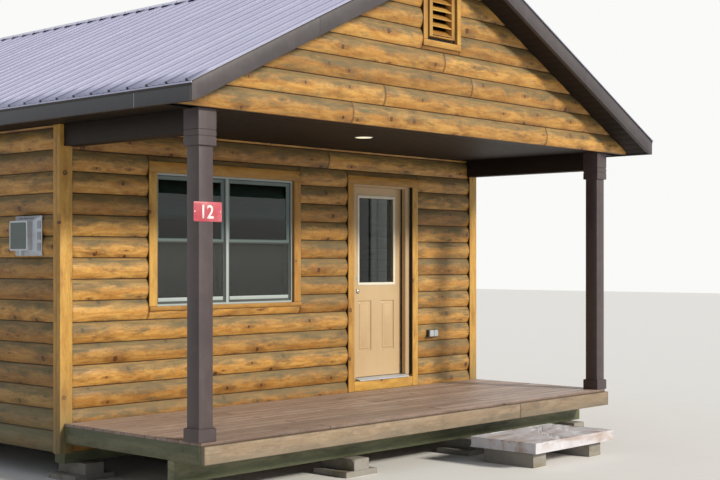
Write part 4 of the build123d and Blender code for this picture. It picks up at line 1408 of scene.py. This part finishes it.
deck_low, deck_high = span("porch_deck")
deck_rows = np.array(strips(deck_low[1], deck_high[1], 13))
deck_joints = (-1.42, 0.2, 1.02)
planks = []
for row, (start, end) in enumerate(deck_rows):
    cut = deck_joints[row % 3]
    for x0, x1 in ((deck_low[0], cut - 0.0015), (cut + 0.0015, deck_high[0])):
        planks.append((x0, x1, start + 0.0015, end - 0.0015, deck_low[2], deck_high[2]))
boards("deck_planks", planks, deck_wood, radius=0.004, slot="deck_boards", nodes="porch_deck",
       seed=52, step=0.5, wave=0.0005)
from_node("joists", green_lumber, "treated_lumber", seed=61)
from_node("rim_boards", green_lumber, "treated_lumber", seed=62)
from_node("ground_beams", green_lumber, "treated_lumber", seed=63, radius=0.005)
low, high = span("deck_front_board")
boards("deck_front", [(x0, x1, low[1], high[1], low[2], high[2])
                      for x0, x1 in ((low[0], 1.22), (1.2225, high[0]))],
       front_wood, slot="deck_boards", nodes="deck_front_board", seed=64, step=0.4, wave=0.0006)
low, high = span("house_floor")
boards("floor_planks", [(low[0], high[0], start + 0.0006, end - 0.0006, low[2], high[2])
                        for start, end in strips(low[1], high[1], 43)],
       raw_lumber, slot="floor_lumber", nodes="house_floor", seed=65)


# %% [markdown]
# Deck screws sit a little below the surface, so they read as small dark dimples. They follow
# the joists, two to a board.

# %% Deck screws
joist_x = np.unique(np.round(solid_boxes("joists")[:, 0].mean(1), 4))
screw_y = np.concatenate([deck_rows[:, 0] + 0.03, deck_rows[:, 1] - 0.03])
x, y = (grid.ravel() for grid in np.meshgrid(joist_x, screw_y))
turned("deck_screws", np.stack([x, y, np.full_like(x, deck_top - 0.0004)], -1), (0, 0, 1),
       [(0.0042, 0.0), (0.0042, 0.0006), (0.002, 0.0002)], screw_zinc, sides=8, sharp=38,
       slot="deck_boards")


# %% [markdown]
# The posts are lumber wrapped in brown sheet, close in colour to the rakes' wrap. Each has a
# square collar at its foot and a taller one with two shadow grooves under the beam. Both collars
# are rings round a square, so the outline goes up the collar's face like the profile of a turned
# piece.

# %% Posts, collars and beams
from_node("porch_posts", brown_wrap, "brown_wrap", seed=71, radius=0.004)
# The side beams take the soffit paint, near-black as painted shade.
from_node("side_beams", soffit_brown_and_shade, "brown_soffit", seed=72, radius=0.004)
low, high = span("porch_posts")
half_post = 0.070
collar = 0.019
hidden = -0.002
centres = [(x, (low[1] + high[1]) / 2, 0) for x in (low[0] + half_post, high[0] - half_post)]
base = np.array([(hidden, 0.0005), (collar - 0.002, 0.001), (collar, 0.004), (collar, 0.097),
                 (collar - 0.003, 0.101), (collar - 0.009, 0.105), (hidden, 0.105)])
cap = [(hidden, 0.0), (collar - 0.002, 0.0), (collar, 0.002)]
for groove_z in (0.070, 0.118):
    cap += [(collar, groove_z - 0.001), (collar - 0.005, groove_z),
            (collar - 0.005, groove_z + 0.005), (collar, groove_z + 0.006)]
cap += [(collar, 0.280), (hidden, 0.280)]
profiles = (base + [0, deck_top], np.array(cap) + [0, ceiling_z - 0.281])
joined("post_collars", [rings_round(centres, (0, 0, 1), profile, (half_post, half_post))
                        for profile in profiles],
       brown_wrap, slot="brown_wrap", nodes="post_trims", sharp=25)


# %% [markdown]
# The porch light is a flush disc: a thin pale ring round a frosted lens that glows.

# %% Porch light
low, high = span("porch_light")
centre = ((low[0] + high[0]) / 2, (low[1] + high[1]) / 2, high[2])
radius = (high[0] - low[0]) / 2
lens_profile = np.array([(0.86, 0.0), (0.84, 0.0055), (0.6, 0.0072), (0.2, 0.0079)])
ring_profile = np.array([(0.99, 0.0), (1.0, 0.001), (0.98, 0.004), (0.9, 0.0058),
                         (0.862, 0.0058), (0.862, 0.001)])
turned("light_lens", centre, (0, 0, -1), lens_profile * [radius, 1], lit_lens, sides=40,
       slot="lamp_lens", nodes="porch_light")
turned("light_ring", centre, (0, 0, -1), ring_profile * [radius, 1], vinyl, sides=40,
       slot="lamp_lens")


# %% [markdown]
# ## Concrete
#
# Footings and the front step are rough castings. A box is cut into a grid on every side, and
# each point moves out or in by a smooth mix of sines of its place, more near the upper edges,
# where concrete chips.

# %% Rough castings
def wobble(points, fine, seed):
    """A smooth random value at each point: a sum of six sines in random directions."""
    draw = np.random.default_rng(seed)
    total = np.zeros(points.shape[:-1])
    for order in range(6):
        way = draw.normal(0, fine * (1 + order * 0.9), 3)
        total += np.sin(points @ way + draw.uniform(0, 6.3)) / (1 + order * 0.45)
    return total / 2.5


def cast_body(low, high, cell, rough, seed):
    """A box as a stack of square rings: the outline of each level has points every cell, and
    the end levels shrink in rings to close the top and foot. Each point then moves inwards by
    the wobble, and further where the upper edges are chipped."""
    size, middle = high - low, (low + high) / 2
    count = np.maximum(2, np.round(size / cell).astype(int))
    side_x, side_y = (np.linspace(-1, 1, number + 1) for number in count[:2])
    edge_x, edge_y = (np.ones(number) for number in count[:2])
    ring = np.stack([np.concatenate([side_x[:-1], edge_y, side_x[:0:-1], -edge_y]),
                     np.concatenate([-edge_x, side_y[:-1], edge_x, side_y[:0:-1]])], -1)
    shrink = np.linspace(0.05, 1, max(4, count[:2].min() // 2))
    bend = 0.004 / size[:2].min()
    level = np.concatenate([shrink[:-1], [1 - bend], np.ones(count[2] + 1), [1 - bend],
                            shrink[-2::-1]])
    sides = np.linspace(0.004, 1, count[2] + 1) * (size[2] - 0.004) / size[2] + 0.002
    rise = np.clip(np.concatenate([np.zeros(len(shrink)), sides, np.ones(len(shrink))]), 0, 1)
    flat = ring[None] * level[:, None, None] * size[:2] / 2 + middle[:2]
    z = np.broadcast_to((low[2] + rise * size[2])[:, None, None], flat.shape[:2] + (1,))
    body = np.concatenate([flat, z], -1)
    away = (body - middle) / (size / 2)
    away = np.where(np.abs(away) > 0.97, np.sign(away), 0)
    chips = np.clip(wobble(body, 16.0, seed) - 0.55, 0, 1) * 2.2 * (away[..., 2] > 0)
    move = -rough * (0.6 + 0.5 * wobble(body, 22.0, seed + 50)) - rough * 2.5 * chips
    move = np.minimum(move, -0.0002)
    return (body + away * move[..., None] * (away[..., 2:] >= 0))[None]


def cast_blocks(name, boxes, material, cell, rough, **facts):
    """One rough casting for each (low, high) box."""
    joined(name, [cast_body(np.array(low), np.array(high), cell, rough, number)
                  for number, (low, high) in enumerate(boxes)], material, sharp=60,
           slot="concrete", **facts)


print("wobble at three places:", np.round(wobble(np.eye(3), 16.0, 1), 2))


# %% [markdown]
# A footing is a wide pad with a block on it. The step is one thick slab on two low blocks, and
# it is the roughest casting, because feet and frost have chipped it.

# %% Footings and step
pad_height = 0.05
half_block = np.array([0.095, 0.195])
pads, blocks = [], []
for low, high in solid_boxes("concrete_piers").transpose(0, 2, 1):
    middle = (low + high) / 2
    pads.append((low, [*high[:2], pad_height]))
    blocks.append(([*(middle[:2] - half_block), pad_height], [*(middle[:2] + half_block), high[2]]))
cast_blocks("footings", pads + blocks, pier_concrete, 0.05, 0.0015, nodes="concrete_piers")
low, high = span("front_step")
slab_foot = high[2] - 0.1
cast_blocks("step_slab", [([*low[:2], slab_foot], high)], step_concrete, 0.02, 0.009,
            nodes="front_step")
supports = [([x0, low[1] + 0.09, 0.0], [x1, high[1] - 0.09, slab_foot])
            for x0, x1 in ((low[0] + 0.09, low[0] + 0.29), (high[0] - 0.29, high[0] - 0.09))]
cast_blocks("step_supports", supports, pier_concrete, 0.04, 0.003)


# %% [markdown]
# ## Window
#
# Two double-hung units side by side, in pale vinyl. The outer frame and the sashes are moulded
# sections, the glass is set in them, and a screen covers the lower half outside. The screen is
# a fine mesh, so it is a sheet whose material lets light through between the threads.

# %% Window frame and sashes
frame_face = 0.026
unit_width = (window_high[0] - window_low[0] - 4 * frame_face) / 2
unit_starts = (window_low[0] + frame_face, window_high[0] - frame_face - unit_width)
units = [(x0, x0 + unit_width) for x0 in unit_starts]
y0, y1 = window_low[1], window_high[1]
depth = y1 - y0
frames = [(x0 - frame_face, x1 + frame_face, y0, window_low[2], window_high[2]) for x0, x1 in units]
frame_section = [(0.0, 0.0), (0.015, 0.0), (0.017, -0.003), (0.017, -0.016),
                 (frame_face, -0.018), (frame_face, -depth), (0.0, -depth)]
sash_section = [(0.0, -0.001), (0.003, 0.0), (0.021, 0.0), (0.024, -0.003), (0.030, -0.009),
                (0.030, -0.019), (0.025, -0.027), (0.0, -0.028)]
track_section = [(0.0172, -0.0145), (0.0258, -0.0165), (0.0258, -0.020), (0.0172, -0.018)]
mitred("window_frame_dressed", frames, frame_section, vinyl, nodes="window_frame")
# The sashes take the darker vinyl: painted shade in their recess.
mitred("window_sashes_dressed", [(*x, y[0], *z) for x, y, z in solid_boxes("window_sashes")],
       sash_section, shaded_sash_vinyl, nodes="window_sashes")
# Dark strips on the frame's inner sides: painted shade.
mitred("window_tracks", frames, track_section, track_dark)


# %% [markdown]
# Each sealed pane shows as one clear sheet with a thin metal spacer along its edge. The sheet is
# thinner than the CAD pane and lies in its middle.

# %% Panes and spacers
def panes(name, node, material, thick, body="cabin"):
    """A sheet of glass in the middle of each CAD pane, with softened edges."""
    boxes = solid_boxes(node)
    boxes[:, 1] = boxes[:, 1].mean(1)[:, None] + np.array([-thick / 2, thick / 2])
    boards(name, boxes, material, radius=0.001, body=body, slot="glazing", nodes=node)


panes("window_panes", "window_glass", window_glazing, 0.004)
mitred("window_spacers", [(x[0] + 0.0005, x[1] - 0.0005, y.mean() + 0.0025, z[0] + 0.0005,
                           z[1] - 0.0005) for x, y, z in solid_boxes("window_glass")],
       [(0.0, 0.0), (0.009, 0.0), (0.009, -0.004), (0.0, -0.004)], screw_zinc)


# %% [markdown]
# A screen is a fine net in a slim frame with a rail at its foot. Thousands of threads would be
# far too many faces, so the net is one thin sheet, and the material's alpha does the rest.

# %% Insect screens
def screen_finish():
    """Fine mesh: its alpha is the share of the surface that threads cover."""
    material, tree, shader = shader_of("insect screen")
    threads = noise(object_place(tree), 700.0, 1.0)
    settings(shader, {"Base Color": tint(threads, shade(40, 44, 44), shade(62, 66, 66)),
                      "Alpha": between(threads, 0.3, 0.7, 0.30, 0.52), "Roughness": 0.6})
    return material


screen_mesh = screen_finish()
middle_z = (window_low[2] + window_high[2]) / 2
screens = [(x0 + 0.002, x1 - 0.002, y0 + 0.0155, window_low[2] + frame_face + 0.001,
            middle_z - 0.012) for x0, x1 in units]
mitred("screen_frames", screens, [(0.0, 0.0), (0.012, 0.0), (0.014, -0.002), (0.014, -0.006),
                                  (0.0, -0.006)], track_dark)
boards("screen_rails", [(x0 + 0.013, x1 - 0.013, y + 0.0005, y + 0.0055, z0 + 0.012, z0 + 0.046)
                        for x0, x1, y, z0, z1 in screens], vinyl, radius=0.002, slot="window_vinyl")
boards("screen_mesh", [(x0 + 0.012, x1 - 0.012, y + 0.003, y + 0.0034, z0 + 0.012, z1 - 0.012)
                       for x0, x1, y, z0, z1 in screens], screen_mesh, radius=0.0001,
       slot="glazing")
lining = 0.016
left, right, foot, head = window_gap
boards("window_jamb_lining", [(x0, x1, y1, inner_front, z0, z1) for x0, x1, z0, z1 in (
    (left, left + lining, foot, head), (right - lining, right, foot, head),
    (left + lining, right - lining, head - lining, head),
    (left + lining, right - lining, foot, foot + lining))], raw_lumber, slot="trim_boards", seed=81)


# %% [markdown]
# ## Front door
#
# The slab is pressed steel with two tall panels under a half light. Its face is a surface of two
# numbers, x and z: the distance to the edge of a panel goes through a moulding curve, which
# gives the sunk groove and the raised field. Grid lines crowd at the mouldings, where the
# surface bends, and cells inside the light's opening are left out.

# %% Pressed door slab
door_low, door_high = span("front_door")
lite_low, lite_high = span("door_glass")
door_x = (door_low[0] + door_high[0]) / 2
panel_z = (door_low[2] + 0.275, door_low[2] + 0.81)
panel_x = [(door_x - 0.286, door_x - 0.081), (door_x + 0.081, door_x + 0.286)]
moulding = np.array([(-0.001, 0.0), (0.0, 0.0), (0.003, 0.006), (0.008, 0.0105), (0.014, 0.0110),
                     (0.020, 0.0085), (0.027, 0.0030), (0.032, 0.0024), (0.042, 0.0045),
                     (0.048, 0.0028), (0.054, 0.0006), (1.0, 0.0006)])


def inside(x, z, left, right, foot, head):
    """Distance to the nearest side of a rectangle, positive inside it."""
    return np.minimum(np.minimum(x - left, right - x), np.minimum(z - foot, head - z))


def sunk(x, z):
    """How far the face lies below the slab's plane: the moulding curve of the distance inside
    the nearest panel edge."""
    curves = [np.interp(inside(x, z, *pair, *panel_z), *moulding.T, left=0.0) for pair in panel_x]
    return np.maximum(*curves)


def crowded(low, high, edges, opening):
    """Grid lines: both ends, the opening's edges, and every bend of the moulding inwards from
    each panel edge."""
    bends = moulding[1:-1, 0]
    lines = [low, low + 0.002, high - 0.002, high]
    for start, end in edges:
        lines += list(start + bends) + list(end - bends)
    return np.unique(np.concatenate([np.round(lines, 5), opening]))


xs = crowded(door_low[0], door_high[0], panel_x, (lite_low[0], lite_high[0]))
zs = crowded(door_low[2], door_high[2], [panel_z], (lite_low[2], lite_high[2]))
grid_x, grid_z = np.meshgrid(xs, zs)
rounding = 0.0012 * (inside(grid_x, grid_z, xs[0], xs[-1], zs[0], zs[-1]) < 0.001)
depth = sunk(grid_x, grid_z) + rounding
front = np.stack([grid_x, door_low[1] + depth, grid_z], -1)
back = np.stack([grid_x, door_high[1] - depth, grid_z], -1)
cell_x, cell_z = np.meshgrid((xs[:-1] + xs[1:]) / 2, (zs[:-1] + zs[1:]) / 2)
solid = inside(cell_x, cell_z, lite_low[0], lite_high[0], lite_low[2], lite_high[2]) <= 0
index = np.arange(grid_x.size).reshape(grid_x.shape)
cells = np.stack([index[:-1, :-1], index[:-1, 1:], index[1:, 1:], index[1:, :-1]], -1)[solid]
edges = np.concatenate([cells[:, pair] for pair in ([0, 1], [1, 2], [2, 3], [3, 0])])
_, owner, counts = np.unique(np.sort(edges, 1), axis=0, return_inverse=True, return_counts=True)
rim = edges[counts[owner.ravel()] == 1]
other_side = grid_x.size
rim_faces = np.concatenate([rim[:, ::-1], rim + other_side], 1)
piece("door_slab", np.concatenate([front.reshape(-1, 3), back.reshape(-1, 3)]),
      (cells, cells[:, ::-1] + other_side, rim_faces), door_tan, body="door", slot="door_paint",
      nodes="front_door", sharp=30)


# %% [markdown]
# The door light sits in a rounded plastic moulding that clamps the glass from both sides, so
# the same mitred section goes round it twice, once facing out and once facing in.

# %% Door light
y_front, y_back = door_low[1], door_high[1]
light_edge = 0.026
light_x = (lite_low[0] - light_edge, lite_high[0] + light_edge)
light_z = (lite_low[2] - light_edge, lite_high[2] + light_edge)
light_section = [(0.0, -0.0005), (0.0, 0.003), (0.004, 0.0075), (0.010, 0.0088),
                 (0.018, 0.0078), (0.024, 0.0050), (0.030, 0.0042), (0.032, 0.001),
                 (0.032, -0.0005)]
mitred("door_light_outside", [(*light_x, y_front, *light_z)], light_section, cream,
       body="door", slot="lite_frame", nodes="door_lite_frames")
mitred("door_light_inside", [(*light_x, y_back, *light_z)], light_section, cream,
       out=(0, 1, 0), body="door", slot="lite_frame")
panes("door_pane", "door_glass", door_glazing, 0.006, "door")


# %% [markdown]
# The jambs stand 5 mm clear of the slab, and a stop with a dark seal closes that gap from
# outside. The seal strips are wider than a seal, so their dark colour is painted shade in the
# gap, and dark strips on the casings' inner sides are painted shade too. The threshold is a
# pressed sill: its section steps up under the door and slopes out over the porch.

# %% Door frame and threshold
clearance = 0.005
gap_left, gap_right = door_low[0] - clearance, door_high[0] + clearance
gap_head = door_high[2] + clearance
jambs = [(x0, x1, frame_low[1], frame_high[1], floor_top + 0.0005, frame_high[2])
         for x0, x1 in ((frame_low[0], gap_left), (gap_right, frame_high[0]))]
jambs.append((gap_left + joint, gap_right - joint, frame_low[1], frame_high[1], gap_head,
              frame_high[2]))
stop_front, stop_back = frame_low[1] + 0.0005, door_low[1] - 0.005
stops = [(x0, x1, stop_front, stop_back, floor_top + 0.006, door_high[2] - 0.0075)
         for x0, x1 in ((gap_left, door_low[0] + 0.007), (door_high[0] - 0.007, gap_right))]
stops.append((gap_left, gap_right, stop_front, stop_back, door_high[2] - 0.007, gap_head))
boards("door_frame_dressed", jambs + stops, door_tan, radius=0.002, slot="door_paint",
       nodes="door_frame")
# Dark strips on the casings' inner sides: painted shade.
boards("casing_linings", [(x - 0.001, x + 0.001, face_y + 0.003, frame_low[1],
                           floor_top + 0.001, head_line - 0.001)
                          for x in (frame_low[0] + 0.0004, frame_high[0] - 0.0004)],
       dark_felt, radius=0.0008, slot="trim_boards")
seal_y = stop_back + 0.0003
# Wide dark seal strips: painted shade in the gaps at the slab's edges.
seal_shade_strips = [(edge + x0, edge + x1, seal_y + y0, seal_y + y1, floor_top + 0.01, door_high[2] - 0.002)
         for edge, x0, x1, y0, y1 in (
             (door_low[0], -0.0045, 0.006, 0.0, 0.0042), (door_high[0], -0.006, 0.0045, 0.0, 0.0042),
             (door_low[0], 0.0063, 0.008, -0.016, 0.0),
             (door_high[0], -0.0082, -0.0065, -0.016, 0.0))]
boards("door_seals", seal_shade_strips, soffit_brown_and_shade, radius=0.0015, slot="door_paint")

sill_start, sill_end = span("door_threshold")
nose_y = sill_start[1]
tread = np.array([(nose_y, -0.019), (nose_y, -0.008), (nose_y + 0.004, -0.006),
                  (wall_y - 0.03, -0.001), (wall_y - 0.028, 0.0005), (wall_y - 0.006, 0.0022),
                  (wall_y, 0.005), (inner_front, 0.005), (inner_front, 0.0002),
                  (wall_y, 0.0002), (wall_y, -0.019)]) + [0, floor_top]
carry("threshold", (sill_start[0], 0, 0), (sill_end[0], 0, 0), (0, -1, 0),
      (tread * [-1, 1])[::-1, ::-1], hood_metal, nose=0.001, slot="window_vinyl",
      nodes="door_threshold", sharp=25)


# %% [markdown]
# Knobs and the bolt are turned, the hinges are rolled barrels with flat leaves. Each side of the
# door has its own rose, neck and knob.

# %% Door hardware
knob_profile = [(0.033, 0.0), (0.033, 0.004), (0.030, 0.0075), (0.016, 0.008), (0.0125, 0.012),
                (0.0115, 0.020), (0.0135, 0.026), (0.021, 0.030), (0.0262, 0.036),
                (0.027, 0.042), (0.0255, 0.049), (0.021, 0.0545), (0.012, 0.0575), (0.004, 0.058)]
bolt_profile = [(0.029, 0.0), (0.029, 0.010), (0.0275, 0.0145), (0.018, 0.016), (0.0165, 0.0178),
                (0.004, 0.0178)]
knob_x = door_low[0] + 0.060
hinge_x, hinge_y, _ = frame["joints"][0]["pos_m"]
hinge_z = [door_low[2] + rise for rise in (0.180, 1.015, 1.850)]
hinge_height = 0.1
knuckle = hinge_height / 3


def barrels(start, end):
    """A length of barrel round the hinge line at each hinge, with slightly rounded ends."""
    return [rings_round((hinge_x, hinge_y, 0), (0, 0, 1), [
        (0.0052, z + start), (0.006, z + start + 0.0008), (0.006, z + end - 0.0008),
        (0.0052, z + end)], sides=16) for z in hinge_z]


def hinge_leaves(name, near, far, body):
    """Flat leaves between two distances from the slab's hinge edge."""
    boards(name, [(door_high[0] + near, door_high[0] + far, y_back - 0.036, y_back + 0.005,
                   z, z + hinge_height) for z in hinge_z],
           satin_steel, radius=0.0005, body=body, slot="hardware")


knobs = [rings_round((knob_x, y + way * 0.0001, door_low[2] + rise), (0, way, 0), profile,
                     sides=32)
         for y, way in ((y_front, -1), (y_back, 1))
         for profile, rise in ((knob_profile, 0.914), (bolt_profile, 1.054))]
joined("door_knobs", knobs + barrels(0, knuckle) + barrels(2 * knuckle, hinge_height),
       satin_steel, body="door", slot="hardware", nodes="door_hardware", sharp=40)
hinge_leaves("door_hinge_leaves", 0.0003, 0.0018, "door")
joined("frame_hinge_barrels", barrels(knuckle + 0.0003, 2 * knuckle - 0.0003), satin_steel,
       slot="hardware", nodes="frame_hinges", sharp=40)
hinge_leaves("frame_hinge_leaves", 0.0032, 0.0048, "cabin")


# %% [markdown]
# ## Small fittings
#
# The number plate is a thin painted sheet with rounded corners, two screws and plain white
# digits. The digits are a text object turned into a mesh, then moved to the plate in the mesh
# itself, so that the object stays at the origin.

# %% Number plate
low, high = span("number_plate")
plate_x, _, plate_z = (low + high) / 2
half_x, _, half_z = (high - low) / 2
turned("plate_sheet", (plate_x, high[1], plate_z), (0, -1, 0),
       [(-0.001, 0.0), (0.0, 0.0006), (0.0, 0.0026), (-0.001, 0.0032)], plate_red,
       halves=(half_x, half_z), corner=0.012, slot="plate_paint", nodes="number_plate")
words = bpy.data.curves.new("digits", "FONT")
words.body = "12"
words.size = 0.142
words.align_x = words.align_y = "CENTER"
words.extrude = 0.0004
words.offset = 0.0025
holder = linked("digit source", words)
bpy.context.view_layer.update()
flat = bpy.data.meshes.new_from_object(holder.evaluated_get(bpy.context.evaluated_depsgraph_get()))
bpy.data.objects.remove(holder)
points = points_of(flat)
points -= (points.max(0) + points.min(0)) / 2
placed = np.stack([points[:, 0] + plate_x, low[1] + 0.0005 - points[:, 2],
                   points[:, 1] + plate_z], -1)
faces = [np.array([list(face.vertices)]) for face in flat.polygons]
digits = piece("plate_digits", placed, faces, plate_white, slot="plate_paint")
shape = bmesh.new()
shape.from_mesh(digits.data)
bmesh.ops.remove_doubles(shape, verts=shape.verts, dist=1e-6)
bmesh.ops.recalc_face_normals(shape, faces=shape.faces)
shape.to_mesh(digits.data)
shape.free()
turned("plate_screws", [(plate_x + x, low[1] + 0.0022, plate_z) for x in (-0.125, 0.125)],
       (0, -1, 0), [(0.005, 0.0), (0.005, 0.0012), (0.003, 0.0022), (0.001, 0.0024)],
       satin_steel, slot="hardware")


# %% [markdown]
# The outlet beside the door has a weatherproof cover: a dark base with two rounded lids side by
# side and a hinge rail over them.

# %% Outlet cover
low, high = span("outlet_box")
box_x, _, box_z = (low + high) / 2
half_x, _, half_z = (high - low) / 2
turned("outlet_body", (box_x, high[1] + 0.004, box_z), (0, -1, 0),
       [(0.0, 0.0), (0.0, 0.032), (-0.002, 0.034), (-0.006, 0.034)], track_dark,
       halves=(half_x, half_z), corner=0.006, slot="outlet_cover", nodes="outlet_box")
turned("outlet_lids", [(box_x + shift * half_x / 2, high[1] - 0.030, box_z)
                       for shift in (-1, 1)], (0, -1, 0),
       [(-0.003, 0.0), (-0.003, 0.010), (-0.005, 0.0155), (-0.010, 0.0178)], cover_grey,
       halves=(half_x / 2, half_z - 0.002), corner=0.006, slot="outlet_cover")
boards("outlet_hinge", [(box_x - half_x + 0.006, box_x + half_x - 0.006, low[1] + 0.006,
                         low[1] + 0.014, high[2] - 0.006, high[2] - 0.0005)], grille_dark,
       radius=0.002, slot="outlet_cover")


# %% [markdown]
# The vent hood on the left wall flares out from a flange, carries a box, and ends in a wire
# grille in a rounded frame. Shell and frame are stacks of rounded rectangles, each given by its
# half width, half height and distance from the wall. The slits in the flange are dark inlays:
# painted shade where open slits would be.

# %% Vent hood
hood_low, hood_high = span("wall_vent")
_, hood_y, hood_z = (hood_low + hood_high) / 2
wall_x = hood_high[0]
wide_y, wide_z = 0.2, 0.1725
box_y, box_z = 0.13, 0.1225


def hood_stack(name, rows, sharp, **facts):
    """Rounded rectangles in the planes x = wall - out, from rows of (half y, half z, out,
    corner radius)."""
    rings = []
    for half_y, half_z, out, corner in rows:
        y, z = rounded(half_y, half_z, corner, quarter_steps)
        rings.append(np.stack([np.full_like(y, wall_x - out), hood_y + y, hood_z + z], -1))
    joined(name, [np.stack(rings)[None]], hood_metal, slot="vent_metal", sharp=sharp, **facts)


def hood_boards(name, rows, material):
    """Small boards from rows of two distances out of the wall, then y and z from the middle."""
    boards(name, np.array(rows) * [-1, -1, 1, 1, 1, 1] + np.repeat([wall_x, hood_y, hood_z], 2),
           material, radius=0.0005, slot="vent_metal")


hood_stack("hood_shell", [(*row, 0.008) for row in (
    (wide_y - 0.002, wide_z - 0.002, 0.001), (wide_y, wide_z, 0.002), (wide_y, wide_z, 0.009),
    (wide_y - 0.003, wide_z - 0.003, 0.0115), (0.165, 0.1475, 0.032),
    (box_y + 0.006, box_z + 0.006, 0.052), (box_y, box_z, 0.056), (box_y, box_z, 0.099),
    (box_y - 0.004, box_z - 0.004, 0.1))], 30, nodes="wall_vent")
hood_stack("hood_border", [
    (box_y + past, box_z + past, out, corner) for past, out, corner in (
        (0.004, 0.1, 0.012), (0.006, 0.103, 0.012), (0.006, 0.110, 0.012),
        (0.002, 0.1135, 0.012), (-0.006, 0.1138, 0.006), (-0.009, 0.111, 0.006),
        (-0.009, 0.1015, 0.006))], 35)
wire, edge = 0.0022, 0.008
upright = [(0.1115, 0.1085, at - wire, at + wire, edge - box_z, box_z - edge)
           for at in np.linspace(0.012 - box_y, box_y - 0.012, 27)]
level = [(0.1125, 0.1100, edge - box_y, box_y - edge, at - wire, at + wire)
         for at in np.linspace(0.012 - box_z, box_z - 0.012, 25)]
hood_boards("hood_grille", upright + level, grille_dark)
# Dark inlays for the slits: painted shade where the slits would be open.
slit_shade_marks = [(0.0335, 0.024, at - 0.0028, at + 0.0028, 0.150, 0.1535)
         for group in (-0.082, 0, 0.082) for at in group + np.arange(-2, 3) * 0.012]
slit_shade_marks += [(out + 0.0014, out - 0.0014, y - 0.0022, y + 0.0022, z - 0.034, z + 0.034)
          for z in (-0.095, 0, 0.095)
          for out, half_y in ((0.016, 0.190), (0.022, 0.1806), (0.028, 0.1712))
          for y in (-half_y, half_y)]
hood_boards("hood_slots", slit_shade_marks, dark_felt)
turned("hood_screws", [(wall_x - 0.1138, hood_y + y, hood_z + z) for y in (-0.122, 0.0, 0.122)
                       for z in (-0.1155, 0.1155)], (-1, 0, 0),
       [(0.0035, 0.0), (0.0035, 0.0008), (0.0015, 0.0013)], satin_steel, sides=8, slot="vent_metal")
boards("hood_leg", [(wall_x - 0.094, wall_x - 0.062, hood_y - 0.012, hood_y + 0.012,
                     hood_low[2] + 0.004, hood_z - box_z + 0.002)], hood_metal, radius=0.002,
       slot="vent_metal")


# %% [markdown]
# ## Setting
#
# The floor is a wide pale sheet. The sky is soft and even, a little warm from the front, where a
# wide low sun lights the porch wall. Rays that leave the camera, or leave it by way of glass or
# polished metal, see a plain white ground; only the other rays see the sky that lights the
# cabin.

# %% Floor and light
def ground(reach=60.0):
    """A pale sheet that reaches far beyond the cabin."""
    material, tree, shader = shader_of("studio floor")
    speck = noise(object_place(tree), 3.0, 3.0)
    settings(shader, {"Base Color": tint(speck, shade(240, 239, 236), shade(244, 243, 240)),
                      "Roughness": 0.85})
    mesh = bpy.data.meshes.new("studio_floor")
    mesh.from_pydata([(-reach, -reach, 0), (reach, -reach, 0), (reach, reach, 0),
                      (-reach, reach, 0)], [], [(0, 1, 2, 3)])
    mesh.materials.append(material)
    linked("studio_floor", mesh)


def sky():
    """White to camera, gloss and glass rays, dimmer and cooler to all others."""
    world = bpy.data.worlds.new("studio")
    world.use_nodes = True
    background = world.node_tree.nodes["Background"]
    rays = world.node_tree.nodes.new("ShaderNodeLightPath").outputs
    seen = calc("MAXIMUM", rays["Is Glossy Ray"], rays["Is Transmission Ray"])
    seen = calc("MAXIMUM", rays["Is Camera Ray"], seen)
    settings(background, {"Color": tint(seen, shade(226, 234, 246), shade(250, 250, 248)),
                          "Strength": between(seen, 0.0, 1.0, 0.41, 1.0)})
    bpy.context.scene.world = world


def sun(strength, spread, pointing):
    """A lamp tipped by acos(-z) and turned by atan2(y, x) - 90 degrees, to point that way."""
    lamp = bpy.data.lights.new("key", "SUN")
    lamp.energy = strength
    lamp.angle = math.radians(spread)
    lamp.color = (1.0, 0.93, 0.82)
    way = np.array(pointing) / np.linalg.norm(pointing)
    turn = math.atan2(way[1], way[0]) - math.pi / 2
    linked("key", lamp).rotation_euler = (math.acos(-way[2]), 0, turn)


ground()
sky()
sun(3.6, 9, (-0.30, 1.0, -0.50))
print("floor, sky and sun ready")


# %% [markdown]
# The camera stands where the photo was taken, as solved from the cabin's straight edges. It is
# level and its lens is shifted up a little, so that upright lines stay upright in the picture.

# %% Camera
lens = bpy.data.cameras.new("camera")
lens.sensor_width = 36.0
lens.lens = 64.81
lens.shift_y = 0.0292
camera = linked("camera", lens)
camera.location = (-9.174, -11.179, 1.869)
camera.rotation_euler = (math.radians(90), 0, math.atan2(0.677, 0.736) - math.radians(90))
bpy.context.scene.camera = camera
bpy.context.scene.view_settings.view_transform = "Standard"
